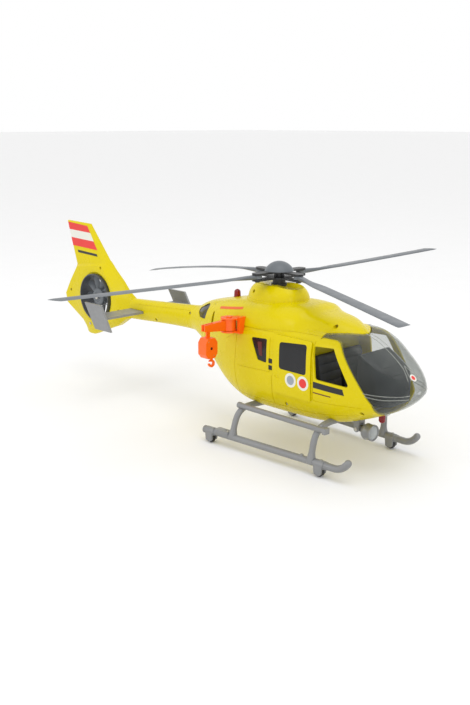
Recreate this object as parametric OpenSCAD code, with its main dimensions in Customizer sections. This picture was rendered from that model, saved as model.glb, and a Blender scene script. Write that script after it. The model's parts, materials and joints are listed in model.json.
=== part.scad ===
/* [Fuselage] */
// Position of the nose tip along the model
nose_x = 284; // [282:0.5:286]
// Half width of the cabin
cabin_half_w = 50; // [48:0.5:52]
// Thickness of the moulded shell walls
wall = 2; // [1.6:0.1:2.4]
// Clear gap between the canopy or a door and the shell
panel_gap = 0.5; // [0.4:0.1:0.8]
// Height of the cabin floor's top face
floor_z = 68; // [67:0.5:69]

/* [Rotor] */
// Distance of the rotor mast in front of the middle of the model
mast_x = 84.4; // [80:0.1:88]
// Height of the middle of the blade roots
rotor_z = 196.5; // [196:0.1:200]
// Rotor radius to the blade tips
rotor_r = 288; // [270:1:300]
// Width of a rotor blade
blade_chord = 16; // [12:0.5:16]
// Thickness of a rotor blade
blade_t = 2.2; // [2:0.1:3]
// Distance of each blade pin from the mast
pin_r = 33; // [31:0.5:35]
// Direction of the first pair of hub arms, in degrees
hub_turn = -5.6; // [-8:0.1:8]

/* [Tail] */
// Position of the fan axis along the model
fan_x = -264.5; // [-266:0.5:-263]
// Height of the fan axis
fan_z = 124; // [122:0.5:126]
// Radius of the round duct through the tail
duct_r = 32; // [31:0.5:33]
// Number of fan blades
fan_blades = 10; // [8:1:12]
// Distance of each end plate from the middle plane
end_plate_y = 72.5; // [70:0.5:75]

/* [Landing gear] */
// Position of the rear wheels along the model
wheel_rear_x = 45; // [42:1:48]
// Position of the front wheels along the model
wheel_front_x = 206; // [203:1:208]
// Distance of the front wheels from the middle plane
track_front = 62.9; // [62:0.1:64]
// Distance of the rear wheels from the middle plane
track_rear = 71.6; // [70:0.1:73]
// Radius of a skid tube
skid_r = 4; // [3.5:0.1:4.5]
// Radius of a wheel
wheel_r = 4.6; // [4.4:0.1:4.8]

/* [Winch] */
// Position of the winch arm's pivot along the model
winch_x = 60; // [58:1:62]
// Distance of the winch arm's pivot from the middle plane
winch_y = 57; // [56:0.5:58]
// Length of the winch arm from its pivot to the hanger hole
arm_l = 33; // [32:1:38]

/* [Hidden] */

$fn = 48;
eps = 0.01;
// Radial clearance of a running fit.
fit = 0.05;
yellow = [0.87, 0.82, 0.02];
grey = [0.55, 0.57, 0.59];
blade_grey = [0.49, 0.51, 0.54];
dark = [0.14, 0.14, 0.15];
orange = [1, 0.33, 0.02];
red = [0.6, 0.05, 0.08];
clear = [0.8, 0.82, 0.8, 0.35];

// ---- Lofted skins -------------------------------------------------------
// A station is [x, lowest z, highest z, half width, z of the greatest width,
// roundness above that height, roundness below it]; 2 is an ellipse and more is boxier.
POD = [
    [-196, 102, 130.5, 9, 116, 2, 2],
    [-62, 108, 139.5, 13, 124, 2.1, 2],
    [-38, 101, 143, 19, 121, 2.3, 2.2],
    [-15, 86, 146, 27, 116, 2.6, 2.4],
    [8, 69, 148, 35, 112, 3, 2.6],
    [30, 55.5, 149.5, 42, 108, 3.8, 2.8],
    [55, 47, 150, 47.5, 103, 4.6, 3],
    [80, 44, 150, cabin_half_w, 100, 5, 3.2],
    [130, 43.5, 150, cabin_half_w, 100, 5, 3.2],
    [180, 45.5, 150, cabin_half_w, 100, 5, 3.2],
    [205, 49.5, 149.5, 49, 100, 5, 3],
    [228, 57, 143.5, 46.5, 98, 4, 2.6],
    [247, 65, 133, 42, 96, 3.2, 2.5],
    [261, 71.5, 123, 37, 96, 2.8, 2.4],
    [272, 79, 114, 29, 96, 2.5, 2.3],
    [nose_x - 3.5, 87, 105, 18, 96, 2.2, 2.1],
    [nose_x, 93, 99, 5, 96, 2, 2]
];
COWL = [
    [-56, 124, 136, 6, 126, 2.1, 2],
    [-42, 121, 145, 15, 124, 2.2, 2],
    [-20, 116, 153.5, 26, 122, 2.6, 2],
    [10, 114, 160, 36, 122, 3, 2],
    [45, 114, 166, 44, 122, 3.3, 2],
    [80, 116, 169, 47.5, 124, 3.4, 2],
    [120, 118, 171, 46, 126, 3.3, 2],
    [150, 120, 170, 41.5, 126, 3.2, 2],
    [157, 120, 168, 39, 126, 3.1, 2],
    [165, 120, 164.5, 37, 126, 3, 2],
    [185, 122, 160.5, 31, 128, 2.8, 2],
    [200, 124, 155.5, 22, 130, 2.6, 2],
    [210, 126, 151, 13, 132, 2.4, 2],
    [215, 128, 147, 5, 134, 2.2, 2]
];
RING = 32;
// The stations of a table that lie between two positions along the model.
function part_of(t, x0, x1) = [for (s = t) if (s[0] >= x0 && s[0] <= x1) s];
function pod_part(x0, x1) = part_of(POD, x0, x1);
function cowl_part(x0, x1) = part_of(COWL, x0, x1);

function slope(t, i, k) =
    i <= 0 ? (t[1][k] - t[0][k]) / (t[1][0] - t[0][0])
    : i >= len(t) - 1 ? (t[i][k] - t[i - 1][k]) / (t[i][0] - t[i - 1][0])
    : (t[i + 1][k] - t[i - 1][k]) / (t[i + 1][0] - t[i - 1][0]);
// A smooth curve through column k of a table, at a fraction u of the step after row i.
function blend(t, i, u, k) =
    let (a = t[i], b = t[i + 1], h = b[0] - a[0])
    (2 * u * u * u - 3 * u * u + 1) * a[k] + (u * u * u - 2 * u * u + u) * h * slope(t, i, k)
    + (3 * u * u - 2 * u * u * u) * b[k] + (u * u * u - u * u) * h * slope(t, i + 1, k);
function station(t, i, u) = [for (k = [0:6])
    k == 0 ? t[i][0] + u * (t[i + 1][0] - t[i][0]) : blend(t, i, u, k)];
function stations(t, steps) = concat(
    [for (i = [0:len(t) - 2]) for (j = [0:steps - 1]) station(t, i, j / steps)],
    [t[len(t) - 1]]);
function signed_power(v, p) = sign(v) * pow(abs(v), p);
// One ring of the skin, moved in by inset.
function ring(s, inset) = [for (j = [0:RING - 1])
    let (a = 360 * j / RING, up = sin(a) >= 0,
         n = up ? s[5] : s[6], h = (up ? s[2] - s[4] : s[4] - s[1]) - inset)
    [s[0], max(s[3] - inset, 0.4) * signed_power(cos(a), 2 / n),
     s[4] + max(h, 0.4) * signed_power(sin(a), 2 / n)]];
module skin(t, inset = 0, steps = 1) {
    rows = stations(t, steps);
    n = len(rows);
    points = [for (s = rows) each ring(s, inset)];
    sides = [for (i = [0:n - 2]) for (j = [0:RING - 1])
        let (k = (j + 1) % RING)
        [i * RING + j, (i + 1) * RING + j, (i + 1) * RING + k, i * RING + k]];
    rear = [for (j = [0:RING - 1]) j];
    front = [for (j = [RING - 1:-1:0]) (n - 1) * RING + j];
    polyhedron(points = points, faces = concat(sides, [rear], [front]), convexity = 8);
}

// ---- Outlines seen from the side ---------------------------------------
// Everything in front of this line belongs to the clear canopy.
CANOPY_EDGE = [[252, 30], [252, 84], [214.5, 138.5], [208, 144.5], [188, 145], [186, 143.5],
               [186, 190], [300, 190], [300, 30]];
// Half outline of the cowl's nose seen from above, where the canopy is cut away around it.
COWL_NOSE = [[170, 0], [170, 37], [184, 33], [192, 29.5], [200, 23.5], [208, 14], [213, 6], [214.5, 0]];
DOOR = [[126, 75], [178, 75], [178, 139], [126, 139]];
DOOR_WINDOW = [[138, 101.5], [173.5, 102.5], [173.5, 134.5], [171, 136.8], [136, 134.3],
    [133.8, 131.5], [133.8, 105]];
COCKPIT_WINDOW = [[185, 101.5], [227, 102.5], [207, 136], [204, 139], [181.5, 136]];
QUARTER_WINDOW = [[99, 108.5], [113, 107], [113, 132.5], [89, 131], [88.5, 129]];
REAR_WINDOW = [[-26, 132], [-19, 134], [-9, 146], [-14, 150], [-24, 148], [-32, 140]];

// An outline in the x-z plane made solid from y0 to y1.
module side_block(outline, y0, y1) {
    translate([0, y1, 0]) rotate([90, 0, 0]) linear_extrude(height = y1 - y0) polygon(outline);
}
module half_space(side) {
    translate([-400, side > 0 ? 0 : -200, -10]) cube([800, 200, 300]);
}
module cowl_nose_block(extra) {
    outline = concat([for (p = COWL_NOSE) [p[0] + extra, p[1] + extra]],
                     [for (i = [len(COWL_NOSE) - 1:-1:0]) [COWL_NOSE[i][0] + extra, -COWL_NOSE[i][1] - extra]]);
    translate([0, 0, 132]) linear_extrude(height = 60) polygon(outline);
}

// ---- Tail ---------------------------------------------------------------
FIN_TOP = [[-339, 227.5], [-284, 226], [-242, 178], [-228, 165], [-316, 163]];
SHROUD = [[-316, 164], [-333, 142], [-347.5, 120], [-344, 104], [-304, 83], [-296, 67], [-290, 65.6],
          [-279, 65.6], [-242, 81], [-222, 88], [-202, 101], [-190, 104], [-190, 129.5],
          [-196, 131], [-204, 145], [-228, 165]];
tail_half_t = 5;
duct_half_t = 14;
module tail_body() {
    difference() {
        union() {
            hull() {
                side_block(SHROUD, -tail_half_t, tail_half_t);
                translate([fan_x, duct_half_t, fan_z]) rotate([90, 0, 0])
                    cylinder(r = duct_r + 5, h = 2 * duct_half_t);
            }
            side_block(SHROUD, -tail_half_t, tail_half_t);
            hull() {
                side_block([for (i = [0:1]) FIN_TOP[i]
                    , [-284, 225], [-338, 226]], -2.5, 2.5);
                side_block([FIN_TOP[3], [-228, 158], [-316, 158], FIN_TOP[4]], -3, 3);
                side_block([[-240, 162], [-250, 168], [-276, 168], [-276, 160]], -8, 8);
            }
        }
        translate([fan_x, 30, fan_z]) rotate([90, 0, 0]) cylinder(r = duct_r + 1.5, h = 60);
    }
}

// ---- Mast fairing -------------------------------------------------------
FAIRING = [[162, 41, 28], [168, 40, 27], [175, 37, 25], [182, 32.5, 21.5], [185.5, 28, 18]];
module fairing() {
    for (i = [0:len(FAIRING) - 2])
        hull() for (row = [FAIRING[i], FAIRING[i + 1]])
            translate([mast_x, 0, row[0]])
                resize([2 * row[1], 2 * row[2], eps]) cylinder(r = 10, h = eps, $fn = 40);
}

// ---- Shell halves -------------------------------------------------------
// Each screw: position along the model, height, and how far its post reaches out from the middle.
SCREWS = [[-252, 167, 6.3], [-327, 127, 7], [-209, 112, 7.6], [-281, 83, 9.8], [-59, 131, 9.4],
          [-132, 111, 5], [188, 154, 15], [66, 177, 18], [140, 62.5, 42.8], [238, 71, 30]];
post_r = 3;
screw_r = 1.2;
head_r = 1.9;
head_h = 1.2;
seat_depth = 0.5;
screw_end = 4;
hinge_x = 191;
hinge_z = 147.5;
hinge_r = 1.5;
bush_r = 9;
TAILPLANE = [[-187, 115.5], [-157, 115.5], [-157, 118.5], [-187, 118.5]];
COWL_HOLLOW = [[0, 140], [0, 153], [40, 160], [150, 163], [180, 156], [180, 140]];
FRONT_TUBE = [198, 52];
REAR_TUBE = [84, 46.5];
tube_r = 3.6;

module outer_skins() {
    skin(POD, steps = 2);
    skin(COWL);
}
module cross_bar(at) {
    translate([at[0], 100, at[1]]) rotate([90, 0, 0]) cylinder(r = tube_r, h = 200);
}
// Post inside each shell around a screw, from the middle to the skin.
module screw_posts(side) {
    for (p = SCREWS) translate([p[0], 0, p[1]]) rotate([side * -90, 0, 0]) cylinder(r = post_r, h = p[2]);
}
// Puts its children where a screw's head sits, +Z pointing along the screw.
module at_screws() {
    for (p = SCREWS) translate([p[0], seat_depth - p[2], p[1]]) rotate([-90, 0, 0]) children();
}
module screw_holes() {
    at_screws() translate([0, 0, -12]) cylinder(r = head_r + 0.2, h = 12);
    for (p = SCREWS) translate([p[0], -p[2], p[1]]) rotate([-90, 0, 0])
        cylinder(r = screw_r + 0.05, h = p[2] + screw_end + 0.2);
}
// Ears under the cowl's nose that carry the canopy's hinge pins.
module hinge_ears(side) {
    difference() {
        translate([hinge_x - 4, side > 0 ? 20 : -23, hinge_z - 4]) cube([8, 3, 9]);
        translate([hinge_x, 0, hinge_z]) rotate([90, 0, 0]) cylinder(r = hinge_r + fit, h = 80, center = true);
    }
}
module shell_half(side) {
    difference() {
        union() {
            shell_skin(side);
            screw_posts(side);
        }
        screw_holes();
        translate([mast_x, 0, 130]) cylinder(r = bush_r, h = 80);
    }
    hinge_ears(side);
}
module shell_skin(side) {
    difference() {
        intersection() {
            union() {
                outer_skins();
                fairing();
                tail_body();
            }
            half_space(side);
        }
        difference() {
            union() {
                skin(POD, wall);
                side_block(COWL_HOLLOW, -24, 24);
            }
            translate([-400, -100, 0]) cube([205, 200, 300]);
            translate([mast_x, 0, 140]) cylinder(r = bush_r + 3, h = 60);
        }
        difference() {
            side_block(CANOPY_EDGE, -100, 100);
            intersection() {
                skin(COWL);
                cowl_nose_block(0);
            }
        }
        side_block(DOOR, side > 0 ? 20 : -100, side > 0 ? 100 : -20);
        side_block(COCKPIT_WINDOW, -100, 100);
        side_block(QUARTER_WINDOW, -100, 100);
        side_block(REAR_WINDOW, -100, 100);
        side_block(TAILPLANE, -20, 20);
        for (i = [0:1]) vent_block(i);
        translate([hinge_x, 0, hinge_z]) rotate([90, 0, 0]) cylinder(r = hinge_r + 0.5, h = 80, center = true);
        cross_bar(FRONT_TUBE);
        cross_bar(REAR_TUBE);
    }
}
// The two small square plugs behind the door, on both sides.
module vent_block(i) {
    translate([119.5, -60, 100 + 8 * i]) cube([4.5, 120, 4.5]);
}
module shell_right() { color(yellow) render() shell_half(-1); }
module shell_left() { color(yellow) render() shell_half(1); }
// Screws that hold the two halves together, each in from the right side.
module shell_screws() {
    color("silver") {
        difference() {
            at_screws() translate([0, 0, -head_h]) cylinder(r = head_r, h = head_h);
            at_screws() translate([0, 0, -head_h]) cube([0.5, 2.6, 1], center = true);
        }
        for (p = SCREWS) translate([p[0], seat_depth - p[2], p[1]]) rotate([-90, 0, 0])
            cylinder(r = screw_r, h = p[2] - seat_depth + screw_end);
    }
}

// A panel that follows the cabin's skin, between two distances from it.
module skin_panel(outline, side, inner, outer) {
    difference() {
        intersection() {
            skin(pod_part(80, 205), -outer);
            side_block(outline, side > 0 ? 15 : -100, side > 0 ? 100 : -15);
        }
        skin(pod_part(55, 228), -inner);
    }
}
module quarter_windows() {
    color(dark) for (s = [-1, 1]) skin_panel(QUARTER_WINDOW, s, -1.8, -0.4);
}
module rear_windows() {
    color(dark) intersection() {
        difference() {
            union() {
                skin(pod_part(-62, 30), 0.3);
                skin(cowl_part(-60, 10), 0.3);
            }
            skin(pod_part(-62, 30), 1.8);
            side_block(COWL_HOLLOW, -24, 24);
        }
        side_block(REAR_WINDOW, -100, 100);
        difference() {
            translate([-50, -100, 100]) cube([100, 200, 80]);
            translate([-50, -6, 100]) cube([100, 12, 80]);
        }
    }
}
module vent_plugs() {
    color(dark) difference() {
        intersection() {
            for (i = [0:1]) vent_block(i);
            skin(pod_part(80, 180), -0.2);
        }
        skin(pod_part(80, 180), 2);
    }
}

// ---- Canopy and doors ---------------------------------------------------
canopy_t = 1.6;
module canopy() {
    color(clear) {
        render() difference() {
            intersection() {
                skin(pod_part(180, 300), steps = 2);
                translate([panel_gap, 0, panel_gap]) side_block(CANOPY_EDGE, -100, 100);
            }
            skin(pod_part(180, 300), canopy_t);
            cowl_nose_block(2);
            translate([150, -60, 130]) cube([40, 120, 60]);
        }
        for (s = [-1, 1]) {
            translate([hinge_x, s > 0 ? 36 : -19.5, hinge_z])
                rotate([90, 0, 0]) cylinder(r = hinge_r, h = 16.5);
            translate([hinge_x - 1, s * 35 - 1.5, hinge_z - 2]) cube([7, 3, 3.6]);
        }
    }
}
module canopy_latch() {
    color(clear) difference() {
        translate([257, 0, 65]) rotate([0, -28, 0]) cube([5, 6, 8], center = true);
        skin(pod_part(228, 300), steps = 2);
    }
}
door_lift = 0.6;
door_t = 1.2;
module door(side) {
    difference() {
        skin_panel([for (p = DOOR) [p[0] + (p[0] > 150 ? 1.5 : -1.5), p[1] + (p[1] > 100 ? 1 : -1.5)]],
            side, door_lift, door_lift + door_t);
        side_block(DOOR_WINDOW, -100, 100);
    }
}
module door_right() { color(yellow) door(-1); }
module door_left() { color(yellow) door(1); }
module door_window(side) { skin_panel(DOOR_WINDOW, side, door_lift + 0.2, door_lift + door_t - 0.2); }
module door_window_right() { color(dark) door_window(-1); }
module door_window_left() { color(dark) door_window(1); }

// ---- Cabin --------------------------------------------------------------
module cabin_floor() {
    color(yellow) intersection() {
        skin(pod_part(30, 247), wall + 0.2);
        translate([36, -60, floor_z - 2]) cube([194, 120, 2]);
    }
}
// Wall behind the seats, with the rear bulkhead.
partition_x = 164.5;
module bulkhead() {
    color(dark) intersection() {
        skin(pod_part(55, 80), wall + 0.2);
        translate([60, -60, floor_z]) cube([2, 120, 68]);
    }
    color(yellow) intersection() {
        skin(pod_part(130, 205), wall + 0.2);
        translate([partition_x, -60, floor_z + 0.1]) cube([2, 120, 90]);
    }
}
// Seat outline from the side, and where the pair stands.
SEAT = [[-12, 0], [19, 0], [22, 5], [19, 9], [3, 9], [-3, 50], [-5, 54], [-10, 54], [-12, 50]];
seat_x = 182;
seat_y = 20;
seat_w = 35;
module pilot_seats() {
    color(dark) intersection() {
        for (s = [-1, 1]) translate([seat_x, s * seat_y + seat_w / 2, floor_z])
            rotate([90, 0, 0]) linear_extrude(height = seat_w) polygon(SEAT);
        skin(pod_part(130, 261), wall + 0.3);
    }
}
// Long hooded console in front of the seats, hollow from below.
CONSOLE = [[222, 78], [261, 78], [267, 85], [270, 97], [267.5, 107], [222, 131.5]];
CONSOLE_HOLLOW = [[224, 70], [259.5, 70], [265.2, 86], [268, 97], [266, 105.5], [224, 128]];
// The console's half outline from above: x and half width.
CONSOLE_PLAN = [[220, 25], [240, 25.5], [250, 23], [258, 18], [264, 12], [268, 6], [271, 1]];
console_t = 2;
module console_plan(inset) {
    mirrored = [for (i = [len(CONSOLE_PLAN) - 1:-1:0]) [CONSOLE_PLAN[i][0], -CONSOLE_PLAN[i][1]]];
    translate([0, 0, 60]) linear_extrude(height = 90) offset(delta = -inset)
        polygon(concat(CONSOLE_PLAN, mirrored));
}
module instrument_panel() {
    color(dark) intersection() {
        side_block(CONSOLE, -30, 30);
        console_plan(0);
        skin(pod_part(205, 300), 4.5);
        difference() {
            side_block(CONSOLE, -30, 30);
            intersection() {
                side_block(CONSOLE_HOLLOW, -30, 30);
                console_plan(console_t);
            }
        }
    }
}

// ---- Roof and belly fittings --------------------------------------------
mast_r = 6;
module mast_bush() {
    color(dark) translate([mast_x, 0, 142]) difference() {
        cylinder(r = bush_r, h = 44.5);
        translate([0, 0, -1]) cylinder(r = mast_r + fit, h = 50);
    }
}
module beacon_top() {
    color(red) difference() {
        translate([15.3, 0, 0]) union() {
            translate([0, 0, 155]) cylinder(r1 = 4.5, r2 = 3.9, h = 11.5);
            translate([0, 0, 166.5]) sphere(r = 3.9);
        }
        skin(cowl_part(-20, 45));
    }
}
module beacon_belly() {
    color(red) difference() {
        translate([236, 3, 0]) union() {
            translate([0, 0, 55]) cylinder(r = 3.6, h = 8);
            translate([0, 0, 55]) sphere(r = 3.6);
        }
        skin(pod_part(205, 261), steps = 2);
    }
}
LIGHT = [214, -8, 43];
light_r = 9;
module searchlight_bracket() {
    color(grey) difference() {
        translate(LIGHT) union() {
            for (s = [-1, 1]) translate([0, s * 4.25, 0]) {
                rotate([90, 0, 0]) cylinder(r = 3.4, h = 2.5, center = true);
                translate([-3.4, -1.25, 0]) cube([6.8, 2.5, 15]);
            }
            translate([-3.4, -5.5, 7]) cube([6.8, 11, 8]);
        }
        translate(LIGHT) rotate([90, 0, 0]) cylinder(r = 1.2, h = 20, center = true);
        skin(pod_part(180, 247), steps = 2);
    }
}
module searchlight_pin() {
    color("silver") translate(LIGHT) rotate([90, 0, 0]) union() {
        cylinder(r = 1.2, h = 11, center = true);
        for (s = [-1, 1]) translate([0, 0, s * 6]) cylinder(r = 2, h = 1, center = true);
    }
}
light_x = 14;
module searchlight_housing() {
    color(grey) translate(LIGHT) difference() {
        union() {
            rotate([90, 0, 0]) cylinder(r = 2.8, h = 5, center = true);
            translate([0, -2.5, -2.8]) cube([8, 5, 5.6]);
            translate([light_x - 7, 0, -1]) rotate([0, 90, 0]) cylinder(r1 = 6, r2 = light_r, h = 3);
            translate([light_x - 4, 0, -1]) rotate([0, 90, 0]) cylinder(r = light_r, h = 11);
        }
        translate([light_x - 2, 0, -1]) rotate([0, 90, 0]) cylinder(r = light_r - 1.4, h = 20);
        rotate([90, 0, 0]) cylinder(r = 1.2 + fit, h = 20, center = true);
    }
}
module searchlight_lens() {
    color(clear) translate(LIGHT + [light_x + 4.5, 0, -1]) rotate([0, 90, 0])
        cylinder(r = light_r - 1.4, h = 1.5);
}

// ---- Main rotor ---------------------------------------------------------
plate_t = 2;
root_t = 4.6;
plate_gap = 0.2;
pin_radius = 1.6;
plate_z = root_t / 2 + plate_gap;
cap_r = 17;
cap_h = 11;
cap_sphere_r = (cap_r * cap_r + cap_h * cap_h) / (2 * cap_h);
// Swing of each blade away from its hub arm, and the droop of its tip.
SWING = [-20.7, 3.3, -2.7, -1.5];
DROOP = [3, -4.4, 31, -2];
module rotor_mast() {
    color(dark) translate([mast_x, 0, 0]) union() {
        translate([0, 0, 139]) cylinder(r = 8, h = 2.8);
        translate([0, 0, 141]) cylinder(r = mast_r, h = rotor_z + plate_z + plate_t - 141);
        translate([0, 0, rotor_z - plate_z - plate_t - 5.5]) cylinder(r = 7.5, h = 5.5);
    }
}
module hub_plate(z) {
    color(dark) translate([mast_x, 0, z]) difference() {
        union() {
            cylinder(r = 12, h = plate_t);
            for (i = [0:3]) rotate([0, 0, hub_turn + 90 * i]) {
                translate([0, -6, 0]) cube([pin_r, 12, plate_t]);
                translate([pin_r, 0, 0]) cylinder(r = 6, h = plate_t);
            }
        }
        translate([0, 0, -1]) cylinder(r = mast_r, h = 10);
        for (i = [0:3]) rotate([0, 0, hub_turn + 90 * i])
            translate([pin_r, 0, -1]) cylinder(r = pin_radius, h = 10);
    }
}
module hub_plate_lower() { hub_plate(rotor_z - plate_z - plate_t); }
module hub_plate_upper() { hub_plate(rotor_z + plate_z); }
module hub_cap() {
    color(grey) translate([mast_x, 0, rotor_z + plate_z + plate_t]) intersection() {
        translate([0, 0, cap_h - cap_sphere_r]) sphere(r = cap_sphere_r);
        cylinder(r = cap_r + 1, h = cap_h + 1);
    }
}
module blade_pins() {
    color(dark) for (i = [0:3])
        translate([mast_x, 0, 0]) rotate([0, 0, hub_turn + 90 * i]) translate([pin_r, 0, 0]) {
            low = rotor_z - plate_z - plate_t;
            translate([0, 0, low - 1.5]) cylinder(r = 2.8, h = 1.5);
            translate([0, 0, low - 1]) cylinder(r = pin_radius, h = 2 * (plate_z + plate_t) + 1);
        }
}
BLADE_STEPS = 8;
// Blade section: chord position and height, as fractions of the chord and thickness.
BLADE_RING = [[-0.5, 0], [-0.36, 0.5], [0.1, 0.45], [0.5, 0], [0.1, -0.45], [-0.36, -0.5]];
tip_sweep = 7;
droop_power = 1.35;
module blade(i) {
    len_x = rotor_r - pin_r;
    start_x = 12;
    points = [for (k = [0:BLADE_STEPS]) for (q = BLADE_RING)
        let (u = k / BLADE_STEPS, x = start_x + (len_x - start_x) * u, tip = k == BLADE_STEPS ? 1 : 0)
        [x - tip * (q[0] + 0.5) * tip_sweep, q[0] * blade_chord * (0.75 + 0.25 * min(1, 4 * u)),
         q[1] * blade_t - DROOP[i] * pow(u, droop_power)]];
    n = len(BLADE_RING);
    sides = [for (k = [0:BLADE_STEPS - 1]) for (j = [0:n - 1])
        let (m = (j + 1) % n, a = k * n, b = (k + 1) * n) each [[a + j, a + m, b + m], [a + j, b + m, b + j]]];
    last = BLADE_STEPS * n;
    caps = concat([[for (j = [n - 1:-1:0]) j]], [for (j = [1:n - 2]) [last, last + j, last + j + 1]]);
    color(blade_grey) translate([mast_x, 0, rotor_z]) rotate([0, 0, hub_turn + 90 * i])
        translate([pin_r, 0, 0]) rotate([0, 0, SWING[i]]) difference() {
            union() {
                cylinder(r = 5.4, h = root_t, center = true);
                translate([0, -4, -root_t / 2]) cube([15, 8, root_t]);
                polyhedron(points = points, faces = concat(sides, caps), convexity = 4);
            }
            cylinder(r = pin_radius + fit, h = 20, center = true);
        }
}
module blade_1() { blade(0); }
module blade_2() { blade(1); }
module blade_3() { blade(2); }
module blade_4() { blade(3); }

// ---- Tail fan and tailplane ---------------------------------------------
fan_hub_r = 12.8;
module at_fan() { translate([fan_x, 0, fan_z]) rotate([90, 0, 0]) children(); }
module fan_duct() {
    color(grey) at_fan() difference() {
        union() {
            difference() {
                translate([0, 0, -duct_half_t]) cylinder(r = duct_r + 1.5, h = 2 * duct_half_t);
                translate([0, 0, -20]) cylinder(r = duct_r, h = 40);
            }
            translate([0, 0, -9]) cylinder(r = 9, h = 5);
            for (i = [0:5]) rotate([0, 0, 60 * i + 15]) translate([6, -0.8, -9]) cube([duct_r - 5.5, 1.6, 4]);
        }
        translate([0, 0, -20]) cylinder(r = 2, h = 40);
    }
}
module fan_shaft() {
    color("silver") at_fan() union() {
        translate([0, 0, -9]) cylinder(r = 2, h = 17.5);
        translate([0, 0, 8.2]) cylinder(r = 3.2, h = 1.5);
    }
}
module tail_fan() {
    color(grey) at_fan() difference() {
        union() {
            translate([0, 0, -3.5]) cylinder(r = fan_hub_r, h = 11);
            for (i = [0:fan_blades - 1]) rotate([0, 0, 360 * i / fan_blades])
                translate([(fan_hub_r + duct_r) / 2 - 1, 0, 2]) rotate([35, 0, 0])
                    cube([duct_r - fan_hub_r, 7, 1.2], center = true);
        }
        translate([0, 0, -10]) cylinder(r = 2 + fit, h = 30);
    }
}
plate_half_t = 1.5;
END_PLATE = [[-201, 134], [-166, 134], [-145, 101], [-179, 101]];
module tailplane() {
    color(grey) side_block(TAILPLANE, plate_half_t - end_plate_y, end_plate_y - plate_half_t);
}
module end_plate(side) {
    color(grey) side_block(END_PLATE, side * end_plate_y - plate_half_t, side * end_plate_y + plate_half_t);
}
module end_plate_right() { end_plate(-1); }
module end_plate_left() { end_plate(1); }

// ---- Landing gear -------------------------------------------------------
skid_z = 2 * wheel_r + 0.4 + skid_r;
splay = atan((track_rear - track_front) / (wheel_front_x - wheel_rear_x));
skid_tail = 9;
skid_front = 18;
bend_r = 22;
bend_angle = 57;
wheel_w = 4.4;
cheek_t = 2;
axle_r = 1;
wheelbase = (wheel_front_x - wheel_rear_x) / cos(splay);
// Frame of one skid: origin at the front wheel on the ground, x along the tube.
module at_skid(side) {
    translate([wheel_front_x, side * track_front, 0]) rotate([0, 0, -side * splay]) children();
}
module skid_tube() {
    translate([-wheelbase - skid_tail, 0, skid_z]) rotate([0, 90, 0])
        cylinder(r = skid_r, h = wheelbase + skid_tail + skid_front);
}
module skid(side) {
    color(grey) at_skid(side) {
        difference() {
            union() {
                skid_tube();
                translate([-wheelbase - skid_tail, 0, skid_z]) sphere(r = skid_r);
                translate([skid_front, 0, skid_z + bend_r]) rotate([90, 0, 0]) rotate([0, 0, -90])
                    rotate_extrude(angle = bend_angle) translate([bend_r, 0]) circle(r = skid_r);
                translate([skid_front + bend_r * sin(bend_angle), 0, skid_z + bend_r * (1 - cos(bend_angle))])
                    sphere(r = skid_r);
                for (x = [0, -wheelbase]) for (s = [-1, 1])
                    translate([x, s * (wheel_w / 2 + 0.3 + cheek_t / 2), 0]) {
                        translate([0, 0, wheel_r]) rotate([90, 0, 0])
                            cylinder(r = 3.4, h = cheek_t, center = true);
                        translate([-3.4, -cheek_t / 2, wheel_r]) cube([6.8, cheek_t, skid_z - wheel_r]);
                    }
            }
            for (x = [0, -wheelbase]) translate([x, 0, wheel_r]) {
                rotate([90, 0, 0]) cylinder(r = axle_r, h = 30, center = true);
                rotate([90, 0, 0]) cylinder(r = wheel_r + 0.4, h = wheel_w + 0.6, center = true);
            }
        }
    }
}
module skid_right() { skid(-1); }
module skid_left() { skid(1); }
module wheel_axles() {
    color("silver") for (s = [-1, 1]) at_skid(s) for (x = [0, -wheelbase])
        translate([x, 0, wheel_r]) rotate([90, 0, 0])
            cylinder(r = axle_r, h = wheel_w + 0.6 + 2 * cheek_t, center = true);
}
module wheel(side, x) {
    color(dark) at_skid(side) translate([x, 0, wheel_r]) rotate([90, 0, 0]) difference() {
        cylinder(r = wheel_r, h = wheel_w, center = true);
        cylinder(r = axle_r + fit, h = 10, center = true);
    }
}
module wheel_front_right() { wheel(-1, 0); }
module wheel_front_left() { wheel(1, 0); }
module wheel_rear_right() { wheel(-1, -wheelbase); }
module wheel_rear_left() { wheel(1, -wheelbase); }

step_y = 60.5;
step_z = 51;
step_r = 2.8;
module rod(a, b, r) {
    d = b - a;
    translate(a) rotate([0, atan2(norm([d[0], d[1]]), d[2]), atan2(d[1], d[0])]) cylinder(r = r, h = norm(d));
}
// A cross tube: straight across under the floor, then down to both skids.
module cross_tube(at, foot_x, foot_y) {
    color(grey) difference() {
        union() {
            translate([at[0], 58, at[1]]) rotate([90, 0, 0]) cylinder(r = tube_r, h = 116);
            for (s = [-1, 1]) {
                translate([at[0], s * 58, at[1]]) sphere(r = tube_r + 0.1);
                rod([at[0], s * 58, at[1]], [foot_x, s * foot_y, skid_z], tube_r);
            }
        }
        for (s = [-1, 1]) {
            at_skid(s) skid_tube();
            step_bar(s);
        }
    }
}
module step_bar(side) {
    color(grey) translate([79, side * step_y, step_z]) rotate([0, 90, 0]) cylinder(r = step_r, h = 134);
}
module step_bar_right() { step_bar(-1); }
module step_bar_left() { step_bar(1); }
module cross_tube_front() { cross_tube(FRONT_TUBE, 194, 63.5); }
module cross_tube_rear() { cross_tube(REAR_TUBE, 79, 69.5); }

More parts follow.
